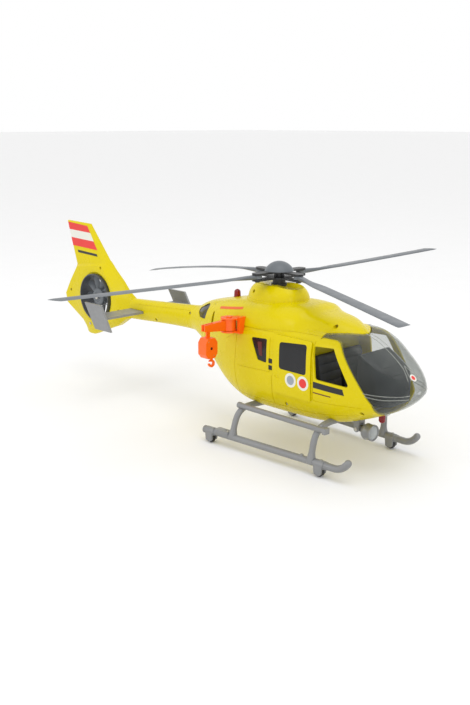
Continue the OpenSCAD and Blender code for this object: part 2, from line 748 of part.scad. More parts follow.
// ---- Winch --------------------------------------------------------------
disc_r = 9.7;
disc_t = 2;
disc_low = 133.5;
disc_high = 148.5;
swivel_r = 2;
module at_winch() { translate([winch_x, -winch_y, 0]) children(); }
module winch_bracket() {
    color(orange) difference() {
        union() {
            at_winch() for (z = [disc_low, disc_high]) translate([0, 0, z]) {
                cylinder(r = disc_r, h = disc_t);
                cube([12.5, 14, disc_t]);
            }
            translate([winch_x + 10.5, -winch_y + 3, disc_low - 1])
                cube([4, 18, disc_high + disc_t + 2 - disc_low]);
        }
        at_winch() translate([0, 0, 130]) cylinder(r = swivel_r, h = 30);
        skin(pod_part(30, 130), steps = 2);
        skin(cowl_part(10, 120));
    }
}
module winch_pivot_pin() {
    color(orange) at_winch() union() {
        translate([0, 0, disc_low]) cylinder(r = swivel_r, h = disc_high + disc_t - disc_low);
        translate([0, 0, disc_high + disc_t]) cylinder(r = 3.6, h = 1.2);
    }
}
arm_low = disc_low + disc_t + 0.4;
arm_high = disc_high - 0.4;
arm_t = 6;
hang_z = 143;
hang_r = 1.5;
case_x = winch_x;
case_y = -winch_y - arm_l;
case_z = 120.2;
case_top = 11.6;
case_half_t = 6.6;
// The case's eight-sided outline: height below its middle, and side.
CASE = [[-case_top, -5], [-6.6, -8.7], [6.6, -8.7], [case_top, -5], [case_top, 5], [6.6, 8.7], [-6.6, 8.7],
        [-case_top, 5]];
CASE_SCREWS = [[-8, -4.5], [8.4, 3.5]];
case_screw_r = 0.6;
ARM = [[4, arm_low], [4, arm_high], [-6, arm_high], [-arm_l - 7, hang_z + 4], [-arm_l - 7, hang_z - 3.5],
       [-6, arm_low]];
module winch_arm() {
    color(orange) at_winch() difference() {
        union() {
            translate([0, 0, arm_low]) cylinder(r = 8.2, h = arm_high - arm_low);
            translate([-arm_t / 2, 0, 0]) rotate([90, 0, 90]) linear_extrude(height = arm_t) polygon(ARM);
        }
        translate([0, 0, 130]) cylinder(r = swivel_r + fit, h = 30);
        translate([-1.4, -arm_l - 12, hang_z - 6]) cube([2.8, 20, 14]);
        translate([-8, -arm_l, hang_z]) rotate([0, 90, 0]) cylinder(r = hang_r, h = 16);
    }
}
// Link that hangs in the fork at the arm's end, with its cross pin.
module winch_hanger() {
    color(orange) translate([case_x, case_y, 0]) union() {
        translate([-1, -2.5, case_z + case_top - 1.2]) cube([2, 5, hang_z - case_z - case_top + 1.2]);
        translate([-1, 0, hang_z]) rotate([0, 90, 0]) cylinder(r = 3, h = 2);
        translate([-arm_t / 2, 0, hang_z]) rotate([0, 90, 0]) cylinder(r = hang_r - fit, h = arm_t);
    }
}
drum_r = 4.5;
flange_r = 6.4;
drum_axle_r = 1.8;
case_cavity_r = 7;
module at_case() { translate([case_x, case_y, case_z]) rotate([0, 90, 0]) children(); }
module case_half(front) {
    color(orange) difference() {
        at_case() difference() {
            translate([0, 0, front ? 0 : -case_half_t]) linear_extrude(height = case_half_t) polygon(CASE);
            translate([0, 0, 1.4 - case_half_t]) cylinder(r = case_cavity_r, h = 2 * case_half_t - 2.8);
            translate([0, 0, -20]) cylinder(r = drum_axle_r + fit, h = 40);
            for (p = CASE_SCREWS) translate([p[0], p[1], -20]) cylinder(r = case_screw_r, h = 40);
        }
        translate([case_x - 2, case_y + drum_r - 1.4, case_z - case_top - 1]) cube([4, 3.4, 8]);
        translate([case_x - 1, case_y - 2.5, case_z + case_top - 1.2]) cube([2, 5, 5]);
    }
}
module winch_case_front() { case_half(true); }
module winch_case_rear() { case_half(false); }
module winch_case_screws() {
    color("silver") at_case() for (p = CASE_SCREWS) translate([p[0], p[1], 1 - case_half_t])
        cylinder(r = case_screw_r, h = 2 * case_half_t - 1);
}
module winch_drum() {
    color(dark) at_case() union() {
        translate([0, 0, -3.8]) cylinder(r = drum_r, h = 7.6);
        for (z = [-3.8, 2.6]) translate([0, 0, z]) cylinder(r = flange_r, h = 1.2);
        translate([0, 0, -case_half_t - 3.7]) cylinder(r = drum_axle_r, h = case_half_t + 9.2);
    }
}
crank_z = -case_half_t - 2.7;
module winch_crank() {
    color(orange) at_case() difference() {
        union() {
            translate([0, 0, crank_z]) cylinder(r = 3.2, h = 2.2);
            translate([0, -1.6, crank_z]) cube([9, 3.2, 2.2]);
            translate([9, 0, crank_z - 4.5]) cylinder(r = 2, h = 6.7);
        }
        translate([0, 0, crank_z - 3]) cylinder(r = drum_axle_r, h = 10);
    }
}
cord_r = 0.5;
cord_y = case_y + drum_r + cord_r;
hook_r = 4.4;
hook_top = case_z - case_top - 0.6;
hook_z = hook_top - 7;
module hoist_cord() {
    color(dark) translate([case_x, cord_y, hook_top]) cylinder(r = cord_r, h = case_z - hook_top);
}
module hoist_hook() {
    color(orange) translate([case_x, cord_y, 0]) difference() {
        union() {
            translate([-1.3, -1.3, hook_z + 3]) cube([2.6, 2.6, hook_top - hook_z - 3]);
            translate([-1.3, 0, hook_z]) rotate([0, 90, 0]) cylinder(r = hook_r, h = 2.6);
        }
        translate([-5, 0, hook_z]) rotate([0, 90, 0]) cylinder(r = hook_r - 2.1, h = 10);
        translate([-5, -hook_r - 1, hook_z + 0.2]) cube([10, hook_r + 0.1, 2.4]);
    }
}

shell_right();
shell_left();
shell_screws();
canopy();
canopy_latch();
door_right();
door_left();
door_window_right();
door_window_left();
quarter_windows();
rear_windows();
vent_plugs();
cabin_floor();
bulkhead();
pilot_seats();
instrument_panel();
mast_bush();
beacon_top();
beacon_belly();
searchlight_bracket();
searchlight_housing();
searchlight_lens();
searchlight_pin();
rotor_mast();
hub_plate_lower();
hub_plate_upper();
hub_cap();
blade_pins();
blade_1();
blade_2();
blade_3();
blade_4();
fan_duct();
fan_shaft();
tail_fan();
tailplane();
end_plate_right();
end_plate_left();
skid_right();
skid_left();
cross_tube_front();
cross_tube_rear();
step_bar_right();
step_bar_left();
wheel_axles();
wheel_front_right();
wheel_front_left();
wheel_rear_right();
wheel_rear_left();
winch_bracket();
winch_pivot_pin();
winch_arm();
winch_hanger();
winch_case_front();
winch_case_rear();
winch_case_screws();
winch_drum();
winch_crank();
hoist_cord();
hoist_hook();
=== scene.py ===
"""Looks of a toy rescue helicopter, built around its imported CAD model.

Lengths are in millimetres until finish_mesh(), apart from the camera, the lamps and the floor.
"""
import json
import math

import bmesh
import bpy
import numpy as np
from mathutils import Matrix, Vector


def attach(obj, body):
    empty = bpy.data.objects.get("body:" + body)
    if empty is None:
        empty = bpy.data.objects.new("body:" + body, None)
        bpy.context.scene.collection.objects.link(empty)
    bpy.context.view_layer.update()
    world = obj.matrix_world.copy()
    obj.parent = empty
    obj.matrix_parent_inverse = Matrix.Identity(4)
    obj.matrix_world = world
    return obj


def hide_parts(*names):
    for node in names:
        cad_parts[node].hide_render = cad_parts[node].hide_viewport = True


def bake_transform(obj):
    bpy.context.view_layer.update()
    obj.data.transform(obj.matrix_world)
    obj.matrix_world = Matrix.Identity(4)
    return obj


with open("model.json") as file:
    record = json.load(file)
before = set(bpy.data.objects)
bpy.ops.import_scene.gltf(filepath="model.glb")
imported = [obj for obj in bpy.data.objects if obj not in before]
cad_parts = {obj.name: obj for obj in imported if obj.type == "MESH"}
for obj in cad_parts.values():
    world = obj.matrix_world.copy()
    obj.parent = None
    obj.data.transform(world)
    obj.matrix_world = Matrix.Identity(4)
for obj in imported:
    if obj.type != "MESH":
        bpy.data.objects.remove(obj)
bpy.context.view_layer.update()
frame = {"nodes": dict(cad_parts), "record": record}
MM = 0.001
scene = bpy.context.scene

BODIES = frame["record"]["behaviour"]["bodies"]
BODY_OF = {node: body for body, nodes in BODIES.items() for node in nodes}
SIDES = ((-1, "right"), (1, "left"))

# ---- Camera ---------------------------------------------------------------
cam_data = bpy.data.cameras.new("camera")
cam_data.sensor_width = 36
cam_data.lens = 46.91
camera = bpy.data.objects.new("camera", cam_data)
scene.collection.objects.link(camera)
camera.location = (0.8037, -0.7674, 0.3671)
target = Vector((0.011, 0, 0.090))
camera.rotation_mode = "QUATERNION"
camera.rotation_quaternion = (target - camera.location).to_track_quat("-Z", "Y")
cam_data.clip_start, cam_data.clip_end = 0.01, 50
scene.camera = camera
scene.view_settings.view_transform = "Standard"


# ---- Materials ------------------------------------------------------------
def srgb(r, g, b):
    """A colour given as 0 to 255 display values, as linear."""
    return tuple((c / 12.92 if c <= 0.04045 else ((c + 0.055) / 1.055) ** 2.4)
                 for c in (r / 255, g / 255, b / 255))


def noise_node(nt, coords, scale, detail=3.0, rough=0.55):
    n = nt.nodes.new("ShaderNodeTexNoise")
    n.inputs["Scale"].default_value = scale
    n.inputs["Detail"].default_value = detail
    n.inputs["Roughness"].default_value = rough
    nt.links.new(coords, n.inputs["Vector"])
    return n.outputs["Fac"]


def mapped(nt, value, low, high, from_low=0.3, from_high=0.7):
    n = nt.nodes.new("ShaderNodeMapRange")
    for i, v in enumerate((from_low, from_high, low, high)):
        n.inputs[i + 1].default_value = v
    nt.links.new(value, n.inputs[0])
    return n.outputs[0]


def plastic(name, colour, rough, spread, shade, grain, bump, wear=0.0, metal=0.0, cloud=14, worn=None,
            gloss=0.5):
    """Moulded plastic: slight clouds in its colour, uneven gloss, fine grain, and worn edges."""
    m = bpy.data.materials.new(name)
    m.use_nodes = True
    nt = m.node_tree
    p = nt.nodes["Principled BSDF"]
    coords = nt.nodes.new("ShaderNodeTexCoord").outputs["Object"]
    clouds = noise_node(nt, coords, cloud)
    tint = nt.nodes.new("ShaderNodeMix")
    tint.data_type = "RGBA"
    tint.inputs["A"].default_value = (*[c * (1 - shade) for c in colour], 1)
    tint.inputs["B"].default_value = (*[min(1, c * (1 + shade)) for c in colour], 1)
    nt.links.new(mapped(nt, clouds, 0, 1), tint.inputs["Factor"])
    out = tint.outputs["Result"]
    if wear:
        edges = nt.nodes.new("ShaderNodeNewGeometry").outputs["Pointiness"]
        mix = nt.nodes.new("ShaderNodeMix")
        mix.data_type = "RGBA"
        amount = nt.nodes.new("ShaderNodeMath")
        amount.operation = "MULTIPLY"
        nt.links.new(mapped(nt, edges, 0, wear, 0.52, 0.62), amount.inputs[0])
        nt.links.new(mapped(nt, noise_node(nt, coords, 220), 0.2, 1), amount.inputs[1])
        nt.links.new(amount.outputs[0], mix.inputs["Factor"])
        nt.links.new(out, mix.inputs["A"])
        mix.inputs["B"].default_value = (*(worn or [min(1, c * 1.5 + 0.05) for c in colour]), 1)
        out = mix.outputs["Result"]
    nt.links.new(out, p.inputs["Base Color"])
    patches = noise_node(nt, coords, 60, 4)
    nt.links.new(mapped(nt, patches, max(0.02, rough - spread), rough + spread), p.inputs["Roughness"])
    p.inputs["Specular IOR Level"].default_value = gloss
    p.inputs["Metallic"].default_value = metal
    b = nt.nodes.new("ShaderNodeBump")
    b.inputs["Strength"].default_value = bump
    b.inputs["Distance"].default_value = 0.0001
    nt.links.new(noise_node(nt, coords, grain, 5, 0.6), b.inputs["Height"])
    nt.links.new(b.outputs["Normal"], p.inputs["Normal"])
    return m


def clear_plastic(name, tint, cover, edge, body, rough=0.04):
    """Thin clear plastic: mostly see-through face on, more mirror and body colour at a glancing angle."""
    m = bpy.data.materials.new(name)
    m.use_nodes = True
    nt = m.node_tree
    p = nt.nodes["Principled BSDF"]
    p.inputs["Base Color"].default_value = (*body, 1)
    p.inputs["IOR"].default_value = 1.5
    p.inputs["Specular IOR Level"].default_value = 0.9
    coords = nt.nodes.new("ShaderNodeTexCoord").outputs["Object"]
    nt.links.new(mapped(nt, noise_node(nt, coords, 90, 4), rough, rough + 0.05), p.inputs["Roughness"])
    see = nt.nodes.new("ShaderNodeBsdfTransparent")
    see.inputs[0].default_value = (*tint, 1)
    face = nt.nodes.new("ShaderNodeLayerWeight")
    face.inputs["Blend"].default_value = 0.35
    fac = mapped(nt, face.outputs["Facing"], cover, edge, 0.0, 1.0)
    dust = nt.nodes.new("ShaderNodeMath")
    dust.operation = "MULTIPLY_ADD"
    dust.inputs[1].default_value = 0.06
    nt.links.new(mapped(nt, noise_node(nt, coords, 35, 5), 0, 1, 0.4, 0.8), dust.inputs[0])
    nt.links.new(fac, dust.inputs[2])
    mix = nt.nodes.new("ShaderNodeMixShader")
    nt.links.new(dust.outputs[0], mix.inputs[0])
    nt.links.new(see.outputs[0], mix.inputs[1])
    nt.links.new(p.outputs[0], mix.inputs[2])
    nt.links.new(mix.outputs[0], nt.nodes["Material Output"].inputs[0])
    return m


YELLOW = srgb(216, 197, 0)
M = {
    "body": plastic("yellow_gloss", YELLOW, 0.27, 0.05, 0.02, 900, 0.08, gloss=0.2),
    "inner": plastic("yellow_satin", srgb(216, 202, 10), 0.42, 0.06, 0.03, 900, 0.2),
    "seat": plastic("charcoal_matt", srgb(58, 60, 64), 0.55, 0.08, 0.12, 1400, 0.5, wear=0.25),
    "window": plastic("smoked_gloss", srgb(26, 27, 29), 0.16, 0.04, 0.15, 700, 0.06, cloud=30, gloss=0.35),
    "hub": plastic("black_satin", srgb(22, 23, 25), 0.42, 0.10, 0.15, 1500, 0.35, wear=0.3),
    "blade": plastic("blade_grey", srgb(98, 103, 108), 0.4, 0.07, 0.03, 1600, 0.18, wear=0.12),
    "gear": plastic("silver_grey", srgb(134, 135, 136), 0.36, 0.08, 0.05, 1300, 0.3, wear=0.2, metal=0.15),
    "tyre": plastic("tyre_black", srgb(24, 24, 25), 0.5, 0.1, 0.2, 1200, 0.6),
    "orange": plastic("winch_orange", srgb(255, 102, 0), 0.34, 0.06, 0.04, 1200, 0.2, wear=0.15,
                      worn=srgb(255, 120, 40)),
    "steel": plastic("zinc_steel", (0.55, 0.53, 0.48), 0.35, 0.12, 0.1, 2500, 0.3, metal=0.9),
    "red_line": plastic("decal_orange", srgb(225, 95, 10), 0.4, 0.06, 0.05, 1800, 0.1),
    "cord": plastic("cord_black", srgb(20, 20, 22), 0.75, 0.1, 0.2, 5000, 0.8),
    "red_band": plastic("decal_red", srgb(226, 48, 42), 0.38, 0.06, 0.04, 1800, 0.12),
    "white_band": plastic("decal_white", srgb(226, 226, 216), 0.38, 0.06, 0.03, 1800, 0.12),
    "black_band": plastic("decal_black", srgb(24, 24, 24), 0.38, 0.06, 0.1, 1800, 0.12),
    "grey_band": plastic("decal_grey", srgb(150, 158, 168), 0.38, 0.06, 0.05, 1800, 0.12),
    "maroon": plastic("shade_maroon", srgb(92, 22, 16), 0.5, 0.06, 0.2, 900, 0.2),
    "clear": clear_plastic("clear_plastic", (0.87, 0.88, 0.87), 0.03, 0.42, srgb(120, 124, 122)),
    "ridge": clear_plastic("clear_ridge", (0.86, 0.87, 0.85), 0.3, 0.75, srgb(205, 207, 200)),
    "duct": plastic("duct_grey", srgb(66, 69, 73), 0.45, 0.08, 0.06, 1300, 0.3, wear=0.15),
    "red": clear_plastic("red_plastic", (0.55, 0.02, 0.04), 0.45, 0.95, srgb(150, 8, 18), 0.1),
    "lens": clear_plastic("lens_plastic", (0.9, 0.92, 0.92), 0.25, 0.8, srgb(200, 204, 205)),
}
SLOT_LOOK = {
    "body_yellow": "body", "interior_yellow": "inner", "interior_dark": "seat", "clear_plastic": "clear",
    "window_dark": "window", "beacon_red": "red", "hub_black": "hub", "blade_grey": "blade",
    "gear_grey": "gear", "tyre_black": "tyre", "winch_orange": "orange", "steel": "steel",
    "cord_black": "cord"}


# ---- Mesh tools -----------------------------------------------------------
def new_object(name, verts, faces):
    mesh = bpy.data.meshes.new(name)
    mesh.from_pydata([tuple(map(float, v)) for v in verts], [], faces)
    obj = bpy.data.objects.new(name, mesh)
    scene.collection.objects.link(obj)
    bm = bmesh.new()
    bm.from_mesh(mesh)
    bmesh.ops.recalc_face_normals(bm, faces=bm.faces)
    bm.to_mesh(mesh)
    bm.free()
    return obj


def csg(base, operation, *cutters):
    """Boolean of base with each cutter; the cutters are used up."""
    for c in cutters:
        mod = base.modifiers.new("cut", "BOOLEAN")
        mod.operation, mod.object, mod.solver = operation, c, "MANIFOLD"
    bake(base)
    for c in cutters:
        bpy.data.objects.remove(c)
    return base


def bake(obj):
    """Applies the modifiers."""
    bpy.context.view_layer.update()
    mesh = bpy.data.meshes.new_from_object(obj.evaluated_get(bpy.context.evaluated_depsgraph_get()))
    obj.modifiers.clear()
    obj.data = mesh
    return obj


def copy_of(obj, name):
    new = bpy.data.objects.new(name, obj.data.copy())
    scene.collection.objects.link(new)
    return new


def side_span(side, near, far):
    """Low and high y of what reaches from near to far on one side of the body."""
    return (near, far) if side > 0 else (-far, -near)


def quads(rings, around):
    """Faces between rings of that many points each, and a cap on the first and the last."""
    faces = [[i * around + k, i * around + (k + 1) % around, (i + 1) * around + (k + 1) % around,
              (i + 1) * around + k] for i in range(rings - 1) for k in range(around)]
    return faces + [list(range(around)), [(rings - 1) * around + k for k in range(around - 1, -1, -1)]]


def prism(outline, low, high, axis="y"):
    """An outline of (x, z) made solid along y, or of (x, y) along z."""
    n = len(outline)
    place = (lambda p, t: (p[0], t, p[1])) if axis == "y" else (lambda p, t: (p[0], p[1], t))
    verts = [place(p, low) for p in outline] + [place(p, high) for p in outline]
    faces = [list(range(n)), list(range(2 * n - 1, n - 1, -1))]
    faces += [[i, (i + 1) % n, n + (i + 1) % n, n + i] for i in range(n)]
    return new_object("prism", verts, faces)


def rounded(outline, radius, steps=5):
    """The outline with its corners rounded."""
    out = []
    n = len(outline)
    for i in range(n):
        p = np.array(outline[i], float)
        a, b = np.array(outline[i - 1], float) - p, np.array(outline[(i + 1) % n], float) - p
        la, lb = np.linalg.norm(a), np.linalg.norm(b)
        a, b = a / la, b / lb
        half = math.acos(max(-1, min(1, a @ b))) / 2
        cut = min(radius / math.tan(half), la * 0.48, lb * 0.48)
        r = cut * math.tan(half)
        centre = p + (a + b) / np.linalg.norm(a + b) * (r / math.sin(half))
        s, e = p + a * cut - centre, p + b * cut - centre
        turn = math.atan2(s[0] * e[1] - s[1] * e[0], s @ e)
        for k in range(steps + 1):
            t = turn * k / steps
            out.append((centre[0] + s[0] * math.cos(t) - s[1] * math.sin(t),
                        centre[1] + s[0] * math.sin(t) + s[1] * math.cos(t)))
    return out


def tube(points, radius, sides=16, flat=None):
    """A round bar along points. A flat one has half sizes across and out, and each point's way out."""
    pts = [Vector(p) for p in points]
    n = len(pts)
    verts = []
    up = Vector((0, 0, 1))
    for i, p in enumerate(pts):
        t = (pts[min(i + 1, n - 1)] - pts[max(i - 1, 0)]).normalized()
        if flat:
            out = Vector(flat[2][i])
            out = (out - t * out.dot(t)).normalized()
            side = t.cross(out)
            verts += [p + side * flat[0] + out * flat[1], p + side * flat[0] - out * flat[1],
                      p - side * flat[0] - out * flat[1], p - side * flat[0] + out * flat[1]]
        else:
            if i == 0:
                side = t.cross(up if abs(t.dot(up)) < 0.9 else Vector((1, 0, 0))).normalized()
            else:
                side = (side - t * side.dot(t)).normalized()
            out = side.cross(t)
            r = radius[i] if hasattr(radius, "__len__") else radius
            turns = [2 * math.pi * k / sides for k in range(sides)]
            verts += [p + side * (r * math.cos(a)) + out * (r * math.sin(a)) for a in turns]
    return new_object("tube", verts, quads(n, 4 if flat else sides))


def spline(points, per=7):
    """A smooth curve through points."""
    p = [np.array(q, float) for q in points]
    p = [2 * p[0] - p[1]] + p + [2 * p[-1] - p[-2]]
    out = []
    for a, b, c, d in zip(p, p[1:], p[2:], p[3:]):
        for k in range(per):
            t = k / per
            out.append(0.5 * (2 * b + (c - a) * t + (2 * a - 5 * b + 4 * c - d) * t * t
                              + (3 * b - a - 3 * c + d) * t ** 3))
    return out + [p[-2]]


def turned(profile, centre, axis, steps=48):
    """A solid turned from a profile of (radius, distance along axis)."""
    rot = Vector((0, 0, 1)).rotation_difference(Vector(axis)).to_matrix()
    c = Vector(centre)
    turns = [2 * math.pi * k / steps for k in range(steps)]
    verts = [c + rot @ Vector((r * math.cos(a), r * math.sin(a), h)) for r, h in profile for a in turns]
    return new_object("turned", verts, quads(len(profile), steps))


def lofted(rings):
    """A solid through rings of points."""
    return new_object("loft", [p for ring in rings for p in ring], quads(len(rings), len(rings[0])))


def block(x0, x1, y0, y1, z0, z1):
    return prism([(x0, z0), (x1, z0), (x1, z1), (x0, z1)], y0, y1)


def joined(name, *objs):
    """Several meshes as one object."""
    bm = bmesh.new()
    for o in objs:
        bm.from_mesh(o.data)
        bpy.data.objects.remove(o)
    mesh = bpy.data.meshes.new(name)
    bm.to_mesh(mesh)
    bm.free()
    obj = bpy.data.objects.new(name, mesh)
    scene.collection.objects.link(obj)
    return obj


def round_edges(obj, width):
    """A bevel of that width in mm on the sharp edges."""
    mod = obj.modifiers.new("edge", "BEVEL")
    mod.width, mod.segments, mod.limit_method, mod.angle_limit = width * MM, 2, "ANGLE", math.radians(35)


def finish_mesh(obj, name, look, body, slot, nodes=(), smooth=35, bevel=0.0):
    """Scales a piece to metres and gives it its name, edges, material and body, and hides the CAD nodes that
    it stands for. The slot is not used.
    """
    obj.name = obj.data.name = name
    obj.data.transform(Matrix.Scale(MM, 4))
    if bevel:
        round_edges(obj, bevel)
        bake(obj)
        obj.data.name = name
    obj.data.shade_smooth()
    obj.data.set_sharp_from_angle(angle=math.radians(smooth))
    obj.data.materials.clear()
    obj.data.materials.append(M[look])
    if body:
        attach(obj, body)
    if nodes:
        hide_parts(*nodes)
    return obj


# ---- The hull's surface ---------------------------------------------------
# Each row: x, lowest z, highest z, half width, z of the greatest width, roundness above it and below it.
POD = np.array([
    [-196, 102, 130.5, 9, 116, 2, 2], [-62, 108, 139.5, 13, 124, 2.1, 2], [-38, 101, 143, 19, 121, 2.3, 2.2],
    [-15, 86, 146, 27, 116, 2.6, 2.4], [8, 69, 148, 35, 112, 3, 2.6], [30, 55.5, 149.5, 42, 108, 3.8, 2.8],
    [55, 47, 150, 47.5, 103, 4.6, 3], [80, 44, 150, 50, 100, 5, 3.2], [130, 43.5, 150, 50, 100, 5, 3.2],
    [180, 45.5, 150, 50, 100, 5, 3.2], [205, 49.5, 149.5, 49, 100, 5, 3], [228, 57, 143.5, 46.5, 98, 4, 2.6],
    [247, 65, 133, 42, 96, 3.2, 2.5], [261, 71.5, 123, 37, 96, 2.8, 2.4], [272, 79, 114, 29, 96, 2.5, 2.3],
    [280.5, 87, 105, 18, 96, 2.2, 2.1], [284, 93, 99, 5, 96, 2, 2]])
COWL = np.array([
    [-56, 124, 136, 6, 126, 2.1, 2], [-42, 121, 145, 15, 124, 2.2, 2], [-20, 116, 153.5, 26, 122, 2.6, 2],
    [10, 114, 160, 36, 122, 3, 2], [45, 114, 166, 44, 122, 3.3, 2], [80, 116, 169, 47.5, 124, 3.4, 2],
    [120, 118, 171, 46, 126, 3.3, 2], [146, 120, 170.3, 42.8, 126, 3.2, 2],
    [152, 120, 168.6, 39.6, 126, 3.1, 2], [160, 120, 165, 37.4, 126, 3, 2],
    [185, 122, 160.5, 31, 128, 2.8, 2], [200, 124, 155.5, 22, 130, 2.6, 2],
    [210, 126, 151, 13, 132, 2.4, 2], [215, 128, 147, 5, 134, 2.2, 2]])
RING = 168  # points round the hull
MELT = 1.1  # how far the cowl and the cabin melt into each other
NOSE_X = 284
CENTRE_X = [-196, -62, -40, 200, 247, 272, NOSE_X]
CENTRE_Z = [116, 124, 130, 130, 110, 96, 96]
FAR = 100  # well clear of the body, sideways


def station(table, x):
    """Row of the table at x, on a smooth curve through its rows."""
    slope = np.empty_like(table)
    slope[1:-1] = (table[2:] - table[:-2]) / (table[2:, :1] - table[:-2, :1])
    slope[0] = (table[1] - table[0]) / (table[1, 0] - table[0, 0])
    slope[-1] = (table[-1] - table[-2]) / (table[-1, 0] - table[-2, 0])
    i = int(np.clip(np.searchsorted(table[:, 0], x, side="right") - 1, 0, len(table) - 2))
    h = table[i + 1, 0] - table[i, 0]
    u = (x - table[i, 0]) / h
    row = ((2 * u ** 3 - 3 * u * u + 1) * table[i] + (u ** 3 - 2 * u * u + u) * h * slope[i]
           + (3 * u * u - 2 * u ** 3) * table[i + 1] + (u ** 3 - u * u) * h * slope[i + 1])
    row[0] = x
    return row


DENSE = np.linspace(0, 2 * math.pi, 1441)[:-1]
DENSE_COS, DENSE_SIN = np.cos(DENSE), np.sin(DENSE)
ANGLES = np.linspace(0, 2 * math.pi, RING + 1)[:-1]


def reach(table, x, inset, centre):
    """Distance of the skin from the centre line in each direction of ANGLES, or 0 beyond the table's ends."""
    if not table[0, 0] <= x <= table[-1, 0]:
        return np.zeros(RING)
    _, low, high, half_w, mid, n_up, n_down = station(table, x)
    n = np.where(DENSE_SIN >= 0, n_up, n_down)
    h = np.maximum(np.where(DENSE_SIN >= 0, high - mid, mid - low) - inset, 0.4)
    y = max(half_w - inset, 0.4) * np.sign(DENSE_COS) * np.abs(DENSE_COS) ** (2 / n)
    z = mid + h * np.sign(DENSE_SIN) * np.abs(DENSE_SIN) ** (2 / n) - centre
    phi = np.mod(np.arctan2(z, y), 2 * math.pi)
    order = np.argsort(phi)
    return np.interp(ANGLES, phi[order], np.hypot(y, z)[order], period=2 * math.pi)


def centre_z(x):
    """Height of the line that the hull's rings are drawn about."""
    return float(np.interp(x, CENTRE_X, CENTRE_Z))


def skin_rows(xs, inset=0.0, cowl=True):
    """Rings of the hull's skin at each x, moved inwards by inset, with or without the engine cowl."""
    rows = []
    for x in xs:
        cz = centre_z(x)
        r = reach(POD, x, inset, cz)
        if cowl:
            c = reach(COWL, x, inset, cz)
            near = np.maximum(MELT - np.abs(r - c), 0) / MELT
            r = np.where(c > 0, np.maximum(r, c) + near * near * MELT / 4, r)
        rows.append(np.stack([np.full(RING, x), r * np.cos(ANGLES), cz + r * np.sin(ANGLES)], 1))
    return rows


# Rings lie closer together where the nose turns in.
NOSE_RINGS = [262, 264.5, 267, 269, 271, 273, 275, 277, 278.5, 280, 281.2, 282.2, 283, 283.6, NOSE_X]


def skin(x0, x1, inset=0.0, cowl=True, step=2.5):
    """A solid inside the hull's skin from x0 to x1."""
    xs = list(np.linspace(x0, x1, max(2, int((x1 - x0) / step) + 1)))
    if x1 > NOSE_RINGS[0]:
        xs = [x for x in xs if x < NOSE_RINGS[0]] + NOSE_RINGS
    return new_object("skin", np.concatenate(skin_rows(xs, inset, cowl)), quads(len(xs), RING))


def side_y(x, z):
    """Half width of the hull at (x, z)."""
    row = skin_rows([x])[0]
    right = row[row[:, 1] >= 0]
    order = np.argsort(right[:, 2])
    return float(np.interp(z, right[order, 2], right[order, 1]))


def filled_in(points, spacing):
    """The points, with more in between so that they lie about that far apart."""
    out = []
    for a, b in zip(points[:-1], points[1:]):
        n = max(1, int(math.dist(a, b) / spacing))
        out += [tuple(u + (v - u) * k / n for u, v in zip(a, b)) for k in range(n)]
    return out + [points[-1]]


def groove(points, side, width=0.35, depth=0.45):
    """A cutter for a seam line through points of (x, z) on the hull's side."""
    places, outs = [], []
    for x, z in filled_in(points, 3.0):
        dx = (side_y(x + 1, z) - side_y(x - 1, z)) / 2
        dz = (side_y(x, z + 1) - side_y(x, z - 1)) / 2
        out = Vector((-dx, 1, -dz)).normalized()
        places.append((x, side * side_y(x, z), z))
        outs.append((out.x, side * out.y, out.z))
    return tube(places, 0, flat=(width, depth, outs))


def patch(outline, side, lift, thick, x0, x1, cowl=True):
    """A thin panel that follows the hull's side inside an outline."""
    outer = skin(x0, x1, -(lift + thick), cowl)
    csg(outer, "INTERSECT", prism(outline, *side_span(side, 3, 120)))
    return csg(outer, "DIFFERENCE", skin(x0 - 2, x1 + 2, -lift, cowl))


# ---- Outlines seen from the side ------------------------------------------
CANOPY_EDGE = [(252, 30), (252, 84), (214.5, 138.5), (211, 142.5), (206, 144.6), (200, 145), (188, 145),
               (186, 143.5), (186, 190), (300, 190), (300, 30)]
COWL_NOSE = [(170, 0), (170, 37), (184, 33), (192, 29.5), (200, 23.5), (208, 14), (213, 6), (214.5, 0)]
DOOR = [(124.5, 73.5), (179.5, 73.5), (179.5, 140), (124.5, 140)]
DOORWAY = [(126, 75), (178, 75), (178, 139), (126, 139)]
DOOR_PATH = [(74, 71), (181, 71), (181, 141.5), (74, 141.5)]
DOOR_WINDOW = rounded([(133.8, 103), (173.5, 102.6), (173.5, 136.3), (133.8, 133)], 3.5)
DOOR_GLASS = rounded([(133.5, 102.7), (173.8, 102.3), (173.8, 136.6), (133.5, 133.3)], 3.6)
DOOR_LINER = rounded([(163, 99), (178, 99), (178, 139), (163, 139)], 1)
DOOR_HANDLE = rounded([(128, 92), (134.5, 92), (134.5, 95), (128, 95)], 1)
COCKPIT_WINDOW = rounded([(185, 100.2), (229, 99), (207, 137.5), (181.5, 136)], 2.5)
QUARTER_WINDOW = rounded([(99.5, 106.5), (113, 105), (113, 132.5), (88.5, 131)], 2.0)
REAR_WINDOW = rounded([(-31, 131.5), (-13, 133), (-8.5, 150), (-16, 151), (-36, 142), (-40, 137)], 3.0)
# outline of a maroon strip of painted glow over the quarter window's glass
QUARTER_PAINTED_GLOW = rounded([(101.5, 112), (106.5, 111.5), (104.8, 128), (98.5, 127)], 1)
WINCH_SLOT = rounded([(4.6, 131), (9.8, 131), (10.6, 142), (9.6, 146.5), (7.6, 146.5), (6.2, 142)], 1.2)
VENT_X = (116.2, 122)
VENT_Z = (98, 103.6)
VENT_PITCH = 7.7
WALL = 2.0
MAST_X = 84.4


def vent(i, inset):
    """One of the two square vents behind the door."""
    low, high = VENT_Z[0] + VENT_PITCH * i + inset, VENT_Z[1] + VENT_PITCH * i - inset
    rear, front = VENT_X[0] + inset, VENT_X[1] - inset
    return rounded([(rear, low), (front, low), (front, high), (rear, high)], 1)


